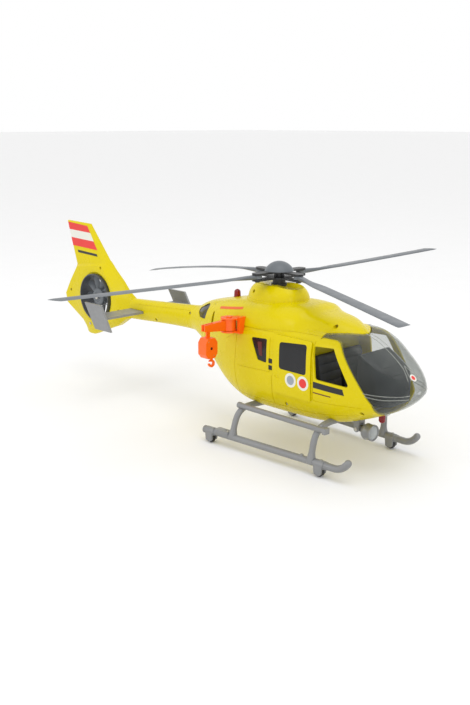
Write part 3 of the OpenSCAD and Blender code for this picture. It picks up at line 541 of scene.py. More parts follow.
def nose_plan(extra):
    """The plan of the cowl's nose, grown by extra. Its ends are on the centre line only if it isn't grown."""
    half = [(x + extra, y + extra) for x, y in COWL_NOSE]
    mirror = [(x, -y) for x, y in reversed(half)]
    return half + (mirror if extra else mirror[1:-1])


# ---- Fuselage -------------------------------------------------------------
# The fairing at the foot of the mast. Each row: z, half length, half width.
HAT = [(160, 41.5, 29), (167.5, 41.5, 29), (168.3, 41, 28.6), (168.6, 39.6, 27.6), (172, 39.2, 27),
       (175.5, 38.2, 26), (179, 36.4, 24.4), (182, 34, 22.4), (184, 31.6, 20.4), (185.1, 29.6, 18.8),
       (185.5, 28.2, 17.8)]
HAT_POWER = 2 / 2.3  # how square the fairing is in plan
DISH_R = 46
DISH_CENTRE = (MAST_X + 22, 0, 227.6)


def hat_ring(z, half_x, half_y, steps=72):
    out = []
    for k in range(steps):
        c, s = math.cos(2 * math.pi * k / steps), math.sin(2 * math.pi * k / steps)
        out.append((MAST_X + half_x * math.copysign(abs(c) ** HAT_POWER, c),
                    half_y * math.copysign(abs(s) ** HAT_POWER, s), z))
    return out


def mast_hat():
    """The fairing, with a shallow round dish in its front."""
    hat = lofted([hat_ring(*row) for row in HAT])
    bowl = [(DISH_R * math.sin(a), -DISH_R * math.cos(a)) for a in np.linspace(0.002, 1.2, 60)]
    return csg(hat, "DIFFERENCE", turned(bowl, DISH_CENTRE, (0, 0, 1), 120))


# The tail's outline at its edge, and the outline of its thicker flat face.
TAIL = [  # edge x, edge z, edge half thickness, face x, face z, face half thickness
    (-339, 227.5, 1.9, -338.4, 226.6, 2.4), (-284, 226, 0.8, -288, 223.5, 3.4),
    (-242, 178, 1.2, -252, 174, 5.4), (-239, 175.8, 1.6, -249.5, 170.5, 9.5),
    (-228, 165, 2.0, -239.5, 159.5, 11.5), (-212, 151.5, 2.5, -224, 142, 12.6),
    (-200, 138, 3.5, -207.5, 124.2, 12.8), (-190, 129.5, 6, -199, 118, 11.5),
    (-182, 128, 5, -186, 117, 7.5), (-182, 105, 5, -186, 115, 7.5),
    (-190, 103.5, 5.5, -199, 113, 11), (-202, 100.5, 5, -206, 108, 12.4),
    (-222, 88, 4.2, -226, 94, 12.6), (-242, 81, 3.8, -244, 87.6, 12.4),
    (-279, 66.5, 3, -277, 72.5, 5.6), (-290, 66, 3, -289, 71.5, 5.2),
    (-296, 67.5, 3, -293.5, 72.8, 5.2), (-304, 83, 3.2, -298, 87, 10.5),
    (-344, 104, 2.6, -337.5, 107, 9.5), (-347.3, 120, 2.4, -341.5, 120, 9.2),
    (-333, 142, 2.4, -328.5, 139.5, 9.5), (-316.5, 164.5, 2.4, -311, 163, 9.0),
    (-316.4, 166, 3.4, -315.6, 166, 4.46)]
FAN = (-264.5, 0, 124)
DUCT_BORE = [(33.6, -40), (33.6, 40)]
DUCT_MOUTH = [(33, 8.5), (41, 13.6), (41, 30), (33, 30)]


def tail_part():
    """Fin and shroud in one, with the fan's duct through it."""
    n = len(TAIL)
    edge = [row[:3] for row in TAIL]
    face = [row[3:] for row in TAIL]
    rings = [[(x, s * t, z) for x, z, t in rim] for s, rim in ((-1, face), (-1, edge), (1, edge), (1, face))]
    verts = [p for r in rings for p in r]
    faces = quads(4, n)[:3 * n]
    # the flat faces: the fin above the seam, and the shroud below it
    fin, shroud = [0, 1, 2, n - 1], [2, 3] + list(range(4, n))
    for base in (0, 3 * n):
        faces += [[base + k for k in fin], [base + k for k in shroud]]
    tail = new_object("tail", verts, faces)
    bm = bmesh.new()
    bm.from_mesh(tail.data)
    bmesh.ops.triangulate(bm, faces=[f for f in bm.faces if len(f.verts) > 4], ngon_method="BEAUTY")
    bmesh.ops.recalc_face_normals(bm, faces=bm.faces)
    bm.to_mesh(tail.data)
    bm.free()
    csg(tail, "DIFFERENCE", turned(DUCT_BORE, FAN, (0, 1, 0), 96))
    return csg(tail, "DIFFERENCE", *[turned(DUCT_MOUTH, FAN, (0, s, 0), 96) for s in (-1, 1)])


# Screw wells: x, z, half width of the body there.
SCREWS = [(-252, 167, 6.3), (-327, 127, 7), (-209, 112, 7.6), (-281, 83, 9.8), (-59, 131, 9.4),
          (-132, 111, 5), (188, 154, 15), (66, 177, 18), (140, 62.5, 42.8), (238, 71, 30)]
# Seam lines along the body's side, as points of (x, z).
GROOVES = [
    [(77, 136.3), (92, 140), (108, 142.8), (127, 144.2), (150, 145.4), (186, 146)],
    [(181.8, 141), (181.8, 78), (182.5, 76.5), (184, 76), (212, 77), (240, 78.5)],
    [(118, 134), (118, 96)], [(118, 96), (66, 94)], [(121, 92), (121, 58)],
    [(64, 132), (60, 94), (62, 60)], [(44, 122), (62, 131)],
    [(66, 60), (122, 58), (180, 60), (232, 67)],
]


ENGINE_BAY = [(0, 140), (0, 153), (40, 160), (150, 163), (180, 156), (180, 140)]
BOOM_SEAM = [(-178, 125.6), (-130, 129), (-60, 134)]


def hollow_hull():
    """Cabin, cowl and boom as one skin, open where the canopy goes."""
    hull = skin(-190, NOSE_X)
    csg(hull, "UNION", mast_hat())
    nose = copy_of(hull, "nose")
    csg(nose, "INTERSECT", prism(nose_plan(0), 140, 200, "z"))
    csg(hull, "DIFFERENCE", skin(-186, 282, WALL, cowl=False, step=4))
    csg(hull, "DIFFERENCE", prism(ENGINE_BAY, -24, 24))
    csg(nose, "DIFFERENCE", skin(120, 270, WALL, cowl=False, step=4))
    csg(hull, "DIFFERENCE", prism(CANOPY_EDGE, -FAR, FAR))
    return csg(hull, "UNION", csg(nose, "INTERSECT", block(185.5, 230, -60, 60, 100, 200)))


def cut_openings(hull):
    """Doorways, windows, vents, and the holes that the mast, tailplane and cross tubes go through."""
    for side, _ in SIDES:
        csg(hull, "DIFFERENCE", prism(DOORWAY, *side_span(side, 20, FAR)))
        # the door's path, where the cowl would stand in its way
        csg(hull, "DIFFERENCE", patch(DOOR_PATH, side, 0.05, 4, 60, 190, cowl=False))
    for outline in (COCKPIT_WINDOW, QUARTER_WINDOW, REAR_WINDOW, vent(0, 0), vent(1, 0)):
        csg(hull, "DIFFERENCE", prism(outline, -FAR, FAR))
    csg(hull, "DIFFERENCE", turned([(9, -30), (9, 60)], (MAST_X, 0, 140), (0, 0, 1)))
    csg(hull, "DIFFERENCE", block(-187.3, -156.7, -20, 20, 115.2, 118.8))
    for x, z in ((198, 52), (84, 46.5)):
        csg(hull, "DIFFERENCE", turned([(3.7, -FAR), (3.7, FAR)], (x, 0, z), (0, 1, 0)))


def cut_details(hull):
    """Screw wells on the right side, and the slots behind the winch and the seam lines on both."""
    for x, z, y in SCREWS:
        csg(hull, "DIFFERENCE", turned([(2.1, 0), (2.1, 14)], (x, -(y - 0.5), z), (0, -1, 0), 24))
    for side, _ in SIDES:
        csg(hull, "DIFFERENCE", prism(WINCH_SLOT, *side_span(side, 15, 60)))
        for line in GROOVES:
            csg(hull, "DIFFERENCE", groove(line, side))
        csg(hull, "DIFFERENCE", groove(BOOM_SEAM, side, 0.3, 0.4))


shell = hollow_hull()
csg(shell, "UNION", tail_part())
cut_openings(shell)
cut_details(shell)
for side, word in SIDES:
    part = copy_of(shell, "shell_" + word)
    csg(part, "INTERSECT", block(-400, 400, *side_span(side, 0.06, 200), -10, 300))
    finish_mesh(part, "body_shell_" + word, "body", "airframe", "body_yellow", ["shell_" + word], smooth=32)
bpy.data.objects.remove(shell)

# ---- Windows and doors ----------------------------------------------------
PANEL_LIFT, PANEL_T = 0.6, 1.2
DOOR_SKIN = PANEL_LIFT + PANEL_T
DOOR_SIDE = 50  # half width of the body at the doors
for side, word in SIDES:
    body = "door_" + word
    panel = patch(rounded(DOOR, 3), side, PANEL_LIFT, PANEL_T, 100, 200, cowl=False)
    csg(panel, "DIFFERENCE", prism(DOOR_WINDOW, -FAR, FAR))
    # the panel runs on behind the glass in front of the partition
    csg(panel, "UNION", patch(DOOR_LINER, side, 0.2, 0.5, 100, 200, cowl=False))
    csg(panel, "DIFFERENCE", prism(DOOR_HANDLE, *side_span(side, DOOR_SIDE + 0.6 + 0.7, FAR)))
    finish_mesh(panel, "door_panel_" + word, "body", body, "body_yellow", [body], smooth=32, bevel=0.25)
    glass = patch(DOOR_GLASS, side, 0.8, 0.75, 100, 200, cowl=False)
    finish_mesh(glass, "door_glass_" + word, "window", body, "window_dark", ["door_window_" + word],
                smooth=32, bevel=0.15)


def both_sides(name, look, outlines, lift, thick, x0, x1, cowl=False, **finish):
    """The same panels on the body's right and left side, as one piece of window plastic."""
    panels = [patch(outline, side, lift, thick, x0, x1, cowl) for outline in outlines for side, _ in SIDES]
    finish_mesh(joined(name, *panels), name, look, "airframe", "window_dark", smooth=40, **finish)


both_sides("quarter_glass", "window", [QUARTER_WINDOW], -1.5, 0.9, 60, 140,
           nodes=["quarter_windows"], bevel=0.15)
both_sides("rear_glass", "window", [REAR_WINDOW], -1.5, 0.9, -62, 20, cowl=True,
           nodes=["rear_windows"], bevel=0.15)
# a maroon strip of painted glow over each quarter window's dark glass
both_sides("quarter_painted_glow", "maroon", [QUARTER_PAINTED_GLOW], -0.6, 0.25, 80, 130)
both_sides("vent_plates", "window", [vent(0, 0.25), vent(1, 0.25)], -1.4, 1.2, 100, 140,
           nodes=["vent_plugs"], bevel=0.3)

# ---- Canopy ---------------------------------------------------------------
pane = skin(182, NOSE_X, cowl=False)
csg(pane, "INTERSECT", prism([(x + 0.5, z + 0.5) for x, z in CANOPY_EDGE], -FAR, FAR))
csg(pane, "DIFFERENCE", skin(176, 282.4, 1.5, cowl=False))
csg(pane, "DIFFERENCE", prism(nose_plan(1), 132, 200, "z"))
csg(pane, "DIFFERENCE", block(150, 186.5, -60, 60, 130, 200))


def on_pod(x, angle):
    """The point of the pod's skin at x in that direction from its centre line."""
    centre = centre_z(x)
    r = float(np.interp(angle % (2 * math.pi), ANGLES, reach(POD, x, 0.0, centre), period=2 * math.pi))
    return Vector((x, r * math.cos(angle), centre + r * math.sin(angle)))


def surface_line(points, width, height, lift):
    """A raised line on the canopy, through the skin's points nearest to these in direction."""
    places, outs = [], []
    for x, y, z in filled_in(points, 2.0):
        angle = math.atan2(z - centre_z(x), y) % (2 * math.pi)
        p = on_pod(x, angle)
        along = on_pod(min(x + 0.8, NOSE_X - 0.1), angle) - on_pod(x - 0.8, angle)
        out = along.cross(on_pod(x, angle + 0.03) - on_pod(x, angle - 0.03)).normalized()
        if out.dot(p - Vector((x, 0, centre_z(x)))) < 0:
            out = -out
        places.append(p + out * lift)
        outs.append(out)
    return tube(places, 0, flat=(width, height, outs))


# The canopy's frame lines on one side; the other side mirrors them.
FRAME_LINES = [
    [(215.5, 3.2, 150), (240, 3.4, 138), (258, 3.6, 125), (266, 4.6, 119), (272, 7.4, 113),
     (276.5, 9.5, 108)],
    [(263.5, 0, 122), (268, 2.4, 117), (272.5, 4.2, 113), (277, 5.5, 108)],
    [(244, -44, 95.5), (258, -38.5, 95.3), (270, -30.8, 95.2), (278, -20, 95.2), (281.8, -9, 95.6)],
    [(246, -43, 92.6), (264, -35, 91.2), (276, -24, 91.6), (281, -10, 92.6)],
]
# hinge pins
for s in (-1, 1):
    csg(pane, "UNION", turned([(1.5, 0), (1.5, 16.5)], (191, s * 19.5, 147.5), (0, s, 0), 24))
finish_mesh(pane, "canopy_pane", "clear", "canopy", "clear_plastic", ["canopy"], smooth=30)
ridges = [surface_line([(x, s * y, z) for x, y, z in line], 0.32, 0.22, 0.16)
          for line in FRAME_LINES for s in (1, -1)]
finish_mesh(joined("ridges", *ridges), "canopy_ridges", "ridge", "canopy", "clear_plastic", smooth=30)
LATCH = [(3, -1.6), (3, 0.3), (2.6, 0.9), (1.8, 1.3), (0.3, 1.5)]
latch = turned(LATCH, (256.7, -16, 70.3), (0.42, -0.2, -0.88), 32)
finish_mesh(latch, "canopy_catch", "ridge", BODY_OF["canopy_latch"], "clear_plastic", ["canopy_latch"],
            smooth=40)

# ---- Cockpit --------------------------------------------------------------
CONSOLE = [(222, 78.5), (261, 78.5), (267, 85), (270, 97), (267.5, 107), (222, 131.5)]
CONSOLE_PLAN = [(220, 25), (240, 25.5), (250, 23), (258, 18), (264, 12), (268, 6), (271, 1)]
console = prism(rounded(CONSOLE, 2.2), -30, 30)
plan = [tuple(p)[:2] for p in spline([(x, y, 0) for x, y in CONSOLE_PLAN], 5)]
csg(console, "INTERSECT", prism(plan + [(x, -y) for x, y in reversed(plan)], 60, 150, "z"))
slope_front, slope_top = Vector(CONSOLE[4]), Vector(CONSOLE[5])
slope = (slope_front - slope_top).normalized()
rise = Vector((-slope.y, slope.x))


def on_slope(along, above):
    """A point of (x, z) on the console's sloping top."""
    p = slope_top + slope * along + rise * above
    return (p.x, p.y)


for a, b in ((29, 30.2), (42, 43.2)):
    slot = [on_slope(a, -0.5), on_slope(b, -0.5), on_slope(b, 3), on_slope(a, 3)]
    csg(console, "DIFFERENCE", prism(slot, -14, 14))
csg(console, "INTERSECT", skin(205, 283, 3.2, cowl=False, step=5))
finish_mesh(console, "cockpit_console", "seat", "airframe", "interior_dark", ["instrument_panel"],
            smooth=30, bevel=0.7)

SEAT = [(-12, 0), (19, 0), (22, 5), (19, 9), (3, 9), (-3, 50), (-5, 54), (-10, 54), (-12, 50)]
SEAT_X, SEAT_Y, SEAT_Z, SEAT_HALF = 182, 20, 68, 17.5
seats = []
for s in (-1, 1):
    y = s * SEAT_Y
    seat = prism(rounded([(SEAT_X + x, SEAT_Z + z) for x, z in SEAT], 2.0), y - SEAT_HALF, y + SEAT_HALF)
    # channels across the back, then along the cushion
    for k in range(4):
        x, z = 183.6 - 1.42 * k, 84 + 9.5 * k
        csg(seat, "DIFFERENCE", tube([(x, y - 19, z), (x, y + 19, z)], 0.7, 8))
    for k in (-1, 1):
        csg(seat, "DIFFERENCE", tube([(188, y + 8 * k, 77), (205, y + 8 * k, 77)], 0.6, 8))
    csg(seat, "INTERSECT", skin(130, 261, 2.4, cowl=False, step=5))
    seats.append(seat)
finish_mesh(joined("seats", *seats), "cockpit_seats", "seat", "airframe", "interior_dark", ["pilot_seats"],
            smooth=30, bevel=0.8)

partition = block(164.5, 166.5, -60, 60, 68.1, 158)
csg(partition, "INTERSECT", skin(130, 205, 2.15, cowl=False, step=5))
rear_wall = block(60, 62, -60, 60, 68, 136)
csg(rear_wall, "INTERSECT", skin(40, 80, 2.15, cowl=False, step=5))
finish_mesh(joined("walls", partition, rear_wall), "cabin_walls", "inner", "airframe", "interior_yellow",
            ["bulkhead"], smooth=30, bevel=0.3)


# ---- Marks: plain discs, bars and stripes ---------------------------------
def circle(x, z, r, steps=40):
    turns = [2 * math.pi * k / steps for k in range(steps)]
    return [(x + r * math.cos(a), z + r * math.sin(a)) for a in turns]


BAR = [(182.5, 90.8), (223, 89.6), (221, 96), (182.5, 97.6)]
THIN_LINE = [(182.5, 84.9), (206, 84.3), (206, 85.5), (182.5, 86.1)]
COWL_LINE = [(19, 151.2), (64, 157.8), (64, 160.4), (19, 153.8)]
for side, word in SIDES:
    door = "door_" + word
    for x, z, look in ((151.5, 93, "grey_band"), (169.5, 93, "red_band")):
        disc = patch(circle(x, z, 8), side, DOOR_SKIN + 0.03, 0.1, 120, 190, cowl=False)
        finish_mesh(disc, "disc_%d_%s" % (x, word), "white_band", door, "body_yellow", smooth=60)
        dot = patch(circle(x, z, 5.2), side, DOOR_SKIN + 0.14, 0.08, 120, 190, cowl=False)
        finish_mesh(dot, "dot_%d_%s" % (x, word), look, door, "body_yellow", smooth=60)
    bar = patch(BAR, side, 0.03, 0.1, 170, 240, cowl=False)
    finish_mesh(bar, "bar_" + word, "black_band", "airframe", "body_yellow", smooth=60)
    line = patch(THIN_LINE, side, 0.03, 0.1, 170, 240, cowl=False)
    finish_mesh(line, "line_" + word, "maroon", "airframe", "body_yellow", smooth=60)
    line = patch(COWL_LINE, side, 0.03, 0.1, 0, 80)
    finish_mesh(line, "cowl_line_" + word, "red_line", "airframe", "body_yellow", smooth=60)

nose_dir = Vector((0.86, 0, 0.51))
for r, lift, look, name in ((4.2, 0.04, "white_band", "nose_disc"), (2.5, 0.16, "red_band", "nose_dot")):
    disc = skin(262, NOSE_X, -(lift + 0.1), cowl=False)
    csg(disc, "INTERSECT", turned([(r, -6), (r, 12)], Vector((275.3, 0, 110.5)), nose_dir, 40))
    csg(disc, "DIFFERENCE", skin(258, NOSE_X, -lift, cowl=False))
    finish_mesh(disc, name, look, "canopy", "body_yellow", smooth=60)

FIN_A = (-338.4, 226.6, 2.4)  # a corner of the fin's flat face: x, z, half thickness
FIN_SLOPE = (0.01817, -0.02719)  # how much thicker it gets along x and z


def fin_y(x, z):
    """Half thickness of the fin's flat face."""
    return FIN_A[2] + FIN_SLOPE[0] * (x - FIN_A[0]) + FIN_SLOPE[1] * (z - FIN_A[1])


STRIPES = [
    ("red_band", [(-337.9, 225.4), (-288.6, 222.8), (-281.6, 213.4), (-334.2, 215)]),
    ("white_band", [(-334.2, 215), (-281.6, 213.4), (-273.3, 202), (-330, 203.8)]),
    ("red_band", [(-330, 203.8), (-273.3, 202), (-264.8, 190.4), (-325.6, 192.2)]),
    ("black_band", [(-314, 186.6), (-266.4, 184.8), (-264, 181.4), (-312.8, 183)])]
for side, word in SIDES:
    for i, (look, quad) in enumerate(STRIPES):
        stripe = lofted([[(x, side * (fin_y(x, z) + t), z) for x, z in quad] for t in (0.02, 0.12)])
        finish_mesh(stripe, "fin_stripe_%d_%s" % (i, word), look, "airframe", "body_yellow")

# ---- Rotor blades ---------------------------------------------------------
ROTOR_Z, ROTOR_R, PIN_R, HUB_TURN = 196.5, 288, 33, -5.6
SWING = [-20.7, 3.3, -2.7, -1.5]
DROOP = [3, -4.4, 31, -2]
BLADE_CHORD, ROOT_CHORD, BLADE_T, ROOT_T = 16, 7.6, 2.3, 4.5
BLADE_EYE = [(4.8, -ROOT_T / 2), (5.4, -ROOT_T / 2 + 0.5), (5.4, ROOT_T / 2 - 0.5), (4.8, ROOT_T / 2)]


def smooth_step(a, b, x):
    t = min(1, max(0, (x - a) / (b - a)))
    return t * t * (3 - 2 * t)


def half_section(s):
    """Half thickness of a wing section at s from its leading edge, for a thickness of 1."""
    return 5 * (0.2969 * math.sqrt(s) - 0.126 * s - 0.3516 * s * s + 0.2843 * s ** 3 - 0.1036 * s ** 4)


def blade_ring(x, loop, u, droop):
    """The blade's section at x along it: blunt at its root, thin and swept back at its tip."""
    chord = ROOT_CHORD + (BLADE_CHORD - ROOT_CHORD) * smooth_step(14, 62, x)
    thick = ROOT_T + (BLADE_T - ROOT_T) * smooth_step(10, 48, x)
    thick *= 1 - 0.75 * smooth_step(249, 255, x) ** 2
    lean = -7 * smooth_step(225, 255, x)
    fat = 1 - smooth_step(6, 40, x)
    ring = []
    for q, h in loop:
        blunt = 0.5 * math.copysign(min(1, 9 * (0.5 - abs(q))) ** 0.5, h) * (abs(h) > 1e-6)
        ring.append((x + q * lean + lean / 2, q * chord,
                     (h * (1 - fat) + fat * blunt) * thick - droop * u ** 1.35))
    return ring


def blade(i):
    long = ROTOR_R - PIN_R
    section = [(s, half_section(s)) for s in [(1 - math.cos(math.pi * k / 12)) / 2 for k in range(13)]]
    loop = [(s - 0.5, h) for s, h in section] + [(s - 0.5, -h) for s, h in reversed(section[1:-1])]
    stops = [4, 8, 12, 17, 23, 30, 38, 48, 60] + list(range(75, 240, 15)) + [243, 249, 252.5, 254.3, long]
    rings = [blade_ring(x, loop, max(0, x - 12) / (long - 12), DROOP[i]) for x in stops]
    eye = turned(BLADE_EYE, (0, 0, 0), (0, 0, 1), 40)
    csg(eye, "UNION", lofted(rings))
    csg(eye, "DIFFERENCE", turned([(1.75, -9), (1.75, 9)], (0, 0, 0), (0, 0, 1), 24))
    turn, swing = math.radians(HUB_TURN + 90 * i), math.radians(SWING[i])
    eye.data.transform(Matrix.Translation((MAST_X, 0, ROTOR_Z)) @ Matrix.Rotation(turn, 4, "Z")
                       @ Matrix.Translation((PIN_R, 0, 0)) @ Matrix.Rotation(swing, 4, "Z"))
    name = "blade_%d" % (i + 1)
    finish_mesh(eye, "rotor_" + name, "blade", name, "blade_grey", [name], smooth=40)


for i in range(4):
    blade(i)

# ---- Landing gear ---------------------------------------------------------
SKID_Z, SKID_R = 13.6, 4
REAR_WHEEL_X, FRONT_WHEEL_X = 45, 206
REAR_TRACK, FRONT_TRACK = 71.6, 62.9  # half the width between the skids at the wheels
STEP_Y = 60.5
LEGS = {
    "front": [(198, 0, 52.5), (198, 22, 53), (198, 40, 53.3), (197.6, 52, 50.8), (196.6, 59, 44),
              (195.4, 62, 34), (194.3, 63.3, 20), (194, 63.5, 12.5)],
    "rear": [(84, 0, 47), (84, 24, 47.6), (84, 42, 48.6), (83.6, 55, 47.6), (82.4, 63, 42), (81, 66.8, 33),
             (79.5, 69, 20), (79, 69.5, 12.5)]}
STEP_RAIL = [(2.4, 0), (3.6, 0.8), (3.6, 4.2), (3.2, 5), (3.2, 129), (3.6, 129.8), (3.6, 133.2), (2.4, 134)]
STEP_BLOCK = rounded([(208, 47.6), (213, 47.6), (213, 54.4), (208, 54.4)], 0.8)
SKID_PAD = rounded([(54, -4.9), (75, -4.9), (75, 4.9), (54, 4.9)], 2)
CHEEK = rounded([(-4.4, 2.6), (4.4, 2.6), (5.6, 13), (-5.6, 13)], 1.8)
SKID_BAND = [(SKID_R - 0.1, 0), (SKID_R + 0.45, 0.4), (SKID_R + 0.45, 2.2), (SKID_R - 0.1, 2.6)]


def cross_leg(name, half):
    path = spline([(x, -y, z) for x, y, z in reversed(half[1:])] + half)
    radii = [3.6 + 1.8 * (1 - smooth_step(14, 25, p[2])) for p in path]
    finish_mesh(tube(path, radii, 28), "cross_leg_" + name, "gear", "airframe", "gear_grey",
                ["cross_tube_" + name], smooth=50, bevel=0.4)


def step_rail(side, word):
    rail = turned(STEP_RAIL, (79, side * STEP_Y, 51), (1, 0, 0), 28)
    csg(rail, "UNION", prism(STEP_BLOCK, side * STEP_Y - 3.4, side * STEP_Y + 3.4))
    finish_mesh(rail, "step_rail_" + word, "gear", "airframe", "gear_grey", ["step_bar_" + word],
                smooth=40, bevel=0.25)


def skid_y(x, side):
    """Where the skid runs: it stands closer in at the front."""
    narrowing = (x - REAR_WHEEL_X) * (REAR_TRACK - FRONT_TRACK) / (FRONT_WHEEL_X - REAR_WHEEL_X)
    return side * (REAR_TRACK - narrowing)


def wheel_housing(x, y, lean):
    """A collar round the skid with a cheek on each side of its wheel."""
    collar = turned([(4.2, -6.6), (4.9, -6.1), (4.9, 6.1), (4.2, 6.6)], (0, 0, SKID_Z), (1, 0, 0), 36)
    for s in (-1, 1):
        csg(collar, "UNION", prism(CHEEK, s * 4 - 1.15, s * 4 + 1.15))
    csg(collar, "DIFFERENCE", turned([(5.3, -2.8), (5.3, 2.8)], (0, 0, 4.6), (0, 1, 0), 40))
    collar.data.transform(Matrix.Translation((x, y, 0)) @ Matrix.Rotation(lean, 4, "Z"))
    return collar


def skid_fittings(side, word):
    """Pad with its screw, two pegs, three bands and two wheel housings."""
    lean = math.atan2(-side * (REAR_TRACK - FRONT_TRACK), FRONT_WHEEL_X - REAR_WHEEL_X)
    pad = prism(SKID_PAD, SKID_Z + 1, SKID_Z + 5.6, "z")
    pad.data.transform(Matrix.Translation((64, skid_y(64, side), 0)) @ Matrix.Rotation(lean, 4, "Z")
                       @ Matrix.Translation((-64, 0, 0)))
    csg(pad, "DIFFERENCE", turned([(1.7, 0), (1.7, 4)], (71, skid_y(71, side), SKID_Z + 4.4), (0, 0, 1), 20))
    bits = [pad]
    for x in (181, 207.5):
        bits.append(turned([(2.2, 0), (2.2, 4.6), (1.5, 5.4)], (x, skid_y(x, side), SKID_Z), (0, 0, 1), 24))
    for x in (34, 199, 213):
        bits.append(turned(SKID_BAND, (x, skid_y(x, side), SKID_Z), (math.cos(lean), math.sin(lean), 0), 32))
    for x in (REAR_WHEEL_X, FRONT_WHEEL_X):
        bits.append(wheel_housing(x, skid_y(x, side), lean))
    finish_mesh(joined("bits", *bits), "skid_fittings_" + word, "gear", "airframe", "gear_grey",
                smooth=40, bevel=0.25)
    screw = turned([(1.5, 0), (1.5, 0.9), (1.0, 1.3)], (71, skid_y(71, side), SKID_Z + 4.3), (0, 0, 1), 20)
    finish_mesh(screw, "skid_screw_" + word, "steel", "airframe", "steel", smooth=40)


for name, half in LEGS.items():
    cross_leg(name, half)
for side, word in SIDES:
    step_rail(side, word)
    skid_fittings(side, word)

# ---- Searchlight ----------------------------------------------------------
LIGHT = (214, -8, 43)  # its pin
BARREL = (223.6, -8, 42)
BARREL_PROFILE = [
    (5.4, -3.2), (7.4, -1.8), (8.8, 0.4), (9.2, 1), (9.2, 2), (8.8, 2.4), (8.8, 8.2), (9.2, 8.6), (9.2, 10.2),
    (8.8, 10.7), (7.9, 10.7), (7.6, 9), (6, 4.6), (3.2, 2.6)]
LENS = (233, -8, 42)
LENS_PROFILE = [(7.4, -0.3), (7.5, 0.4), (6.4, 0.8), (3.6, 1.2), (0.4, 1.35)]
light = turned(BARREL_PROFILE, BARREL, (1, 0, 0), 64)
csg(light, "UNION", turned([(2.6, -2.5), (2.8, -2.3), (2.8, 2.3), (2.6, 2.5)], LIGHT, (0, 1, 0), 32),
    block(214, 222, -10.4, -5.6, 40.3, 45.7))
csg(light, "DIFFERENCE", turned([(1.35, -9), (1.35, 9)], LIGHT, (0, 1, 0), 24))
finish_mesh(light, "searchlight_barrel", "gear", BODY_OF["searchlight_housing"], "gear_grey",
            ["searchlight_housing"], smooth=40, bevel=0.15)
finish_mesh(turned(LENS_PROFILE, LENS, (1, 0, 0), 56), "searchlight_glass", "lens",
            BODY_OF["searchlight_lens"], "clear_plastic", ["searchlight_lens"], smooth=60)

# ---- Tail fan --------------------------------------------------------------
FAN_BLADES = 10
FAN_ROOT_R, FAN_TIP_R = 11.5, 31
FAN_HUB = [(12, -3.4), (12.8, -2.6), (12.8, 5.4), (12.2, 6.6), (10.8, 7.2), (7.4, 7.4), (6.8, 6.7), (3, 6.7)]
# A fan blade's section, for a chord and a thickness of 1.
FAN_SECTION = [(-0.5, 0), (-0.3, 0.42), (0.05, 0.5), (0.35, 0.3), (0.5, 0), (0.35, -0.24), (0.05, -0.3),
               (-0.3, -0.2)]


def fan_blade():
    """One twisted blade, along x."""
    rings = []
    for r in np.linspace(FAN_ROOT_R, FAN_TIP_R, 9):
        u = (r - FAN_ROOT_R) / (FAN_TIP_R - FAN_ROOT_R)
        pitch, chord, thick = math.radians(48 - 20 * u), 7.2 + 1.2 * u, 1.5 - 0.6 * u
        c, s = math.cos(pitch), math.sin(pitch)
        rings.append([(r - 0.8 * (2 * q) ** 2 * u,
                       q * chord * c - h * thick * s,
                       2 + q * chord * s + h * thick * c) for q, h in FAN_SECTION])
    return lofted(rings)


fan = turned(FAN_HUB, (0, 0, 0), (0, 0, 1), 64)
for k in range(FAN_BLADES):
    one = fan_blade()
    one.data.transform(Matrix.Rotation(2 * math.pi * k / FAN_BLADES, 4, "Z"))
    csg(fan, "UNION", one)
csg(fan, "DIFFERENCE", turned([(2.2, -10), (2.2, 12)], (0, 0, 0), (0, 0, 1), 24))
fan.data.transform(Matrix.Translation(FAN) @ Matrix.Rotation(math.radians(90), 4, "X"))
finish_mesh(fan, "tail_rotor", "blade", BODY_OF["tail_fan"], "gear_grey", ["tail_fan"], smooth=35, bevel=0.12)

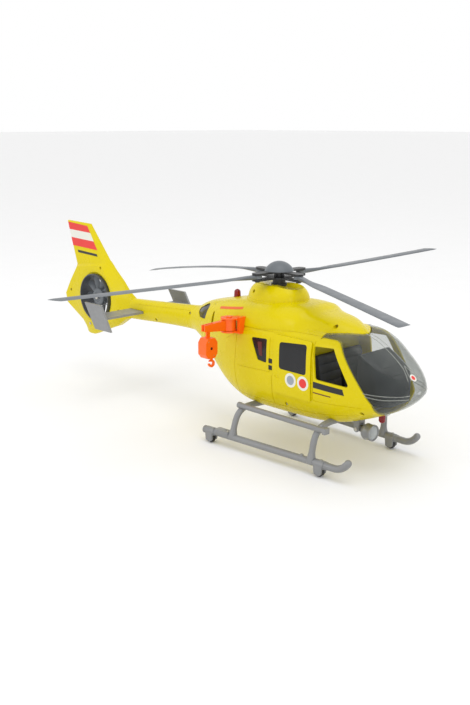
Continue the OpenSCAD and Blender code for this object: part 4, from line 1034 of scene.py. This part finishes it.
# ---- Hoist cord: three twisted strands from the drum to the hook -----------
CORD_X, CORD_Y, CORD_TOP, CORD_END, TURN_LENGTH = 60, -85, 120.0, 107.6, 3.2
STRAND_R = 0.27
strands = []
for k in range(3):
    path = []
    for z in np.linspace(CORD_TOP, CORD_END, 64):
        a = 2 * math.pi * ((CORD_TOP - z) / TURN_LENGTH + k / 3)
        path.append((CORD_X + STRAND_R * math.cos(a), CORD_Y + STRAND_R * math.sin(a), z))
    strands.append(tube(path, STRAND_R, 8))
hoist = finish_mesh(joined("strands", *strands), "hoist_rope", "cord", None, "cord_black", ["hoist_cord"],
                    smooth=60)
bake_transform(hoist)

# ---- CAD nodes that stay ---------------------------------------------------
EDGE = {"hub_plate_lower": 0.35, "hub_plate_upper": 0.35, "skid_right": 0.5, "skid_left": 0.5}
SHARP_NODES = ("shell_screws", "blade_pins", "hoist_cord", "searchlight_pin", "winch_pivot_pin",
               "winch_case_screws")


def dress_nodes():
    """Gives each CAD node its look, with softened edges."""
    for row in frame["record"]["subparts"]:
        name = row["node"]
        obj = frame["nodes"][name]
        look = "duct" if name == "fan_duct" else SLOT_LOOK[row["material_slot"]]
        if not obj.data.materials:
            obj.data.materials.append(M[look])
        for i in range(len(obj.material_slots)):
            obj.material_slots[i].material = M[look]
        if name not in SHARP_NODES:
            round_edges(obj, EDGE.get(name, 0.3))


dress_nodes()

# ---- Stage ----------------------------------------------------------------
bm = bmesh.new()
bmesh.ops.create_grid(bm, x_segments=8, y_segments=8, size=30)
floor_mesh = bpy.data.meshes.new("floor")
bm.to_mesh(floor_mesh)
bm.free()
floor = bpy.data.objects.new("floor", floor_mesh)
scene.collection.objects.link(floor)
floor.location.z = -0.0002
floor.data.materials.append(plastic("floor_paper", (0.9, 0.9, 0.9), 0.85, 0.05, 0.005, 300, 0.02, gloss=0.1))


def lamp(name, place, size, power):
    """A square white lamp at place, turned to the middle of the helicopter."""
    data = bpy.data.lights.new(name, "AREA")
    data.shape, data.size, data.energy = "SQUARE", size, power
    obj = bpy.data.objects.new(name, data)
    scene.collection.objects.link(obj)
    obj.location = place
    obj.rotation_mode = "QUATERNION"
    obj.rotation_quaternion = (Vector((0, 0, 0.1)) - Vector(place)).to_track_quat("-Z", "Y")


lamp("key", (0.6, -0.3, 2.1), 1.3, 9)
lamp("front", (1.9, -1.2, 1.0), 0.9, 3)
lamp("side", (-0.8, -2.0, 1.1), 0.8, 4)
world = bpy.data.worlds.new("world")
scene.world = world
world.use_nodes = True
world.node_tree.nodes["Background"].inputs[0].default_value = (1, 1, 1, 1)
world.node_tree.nodes["Background"].inputs[1].default_value = 1.0
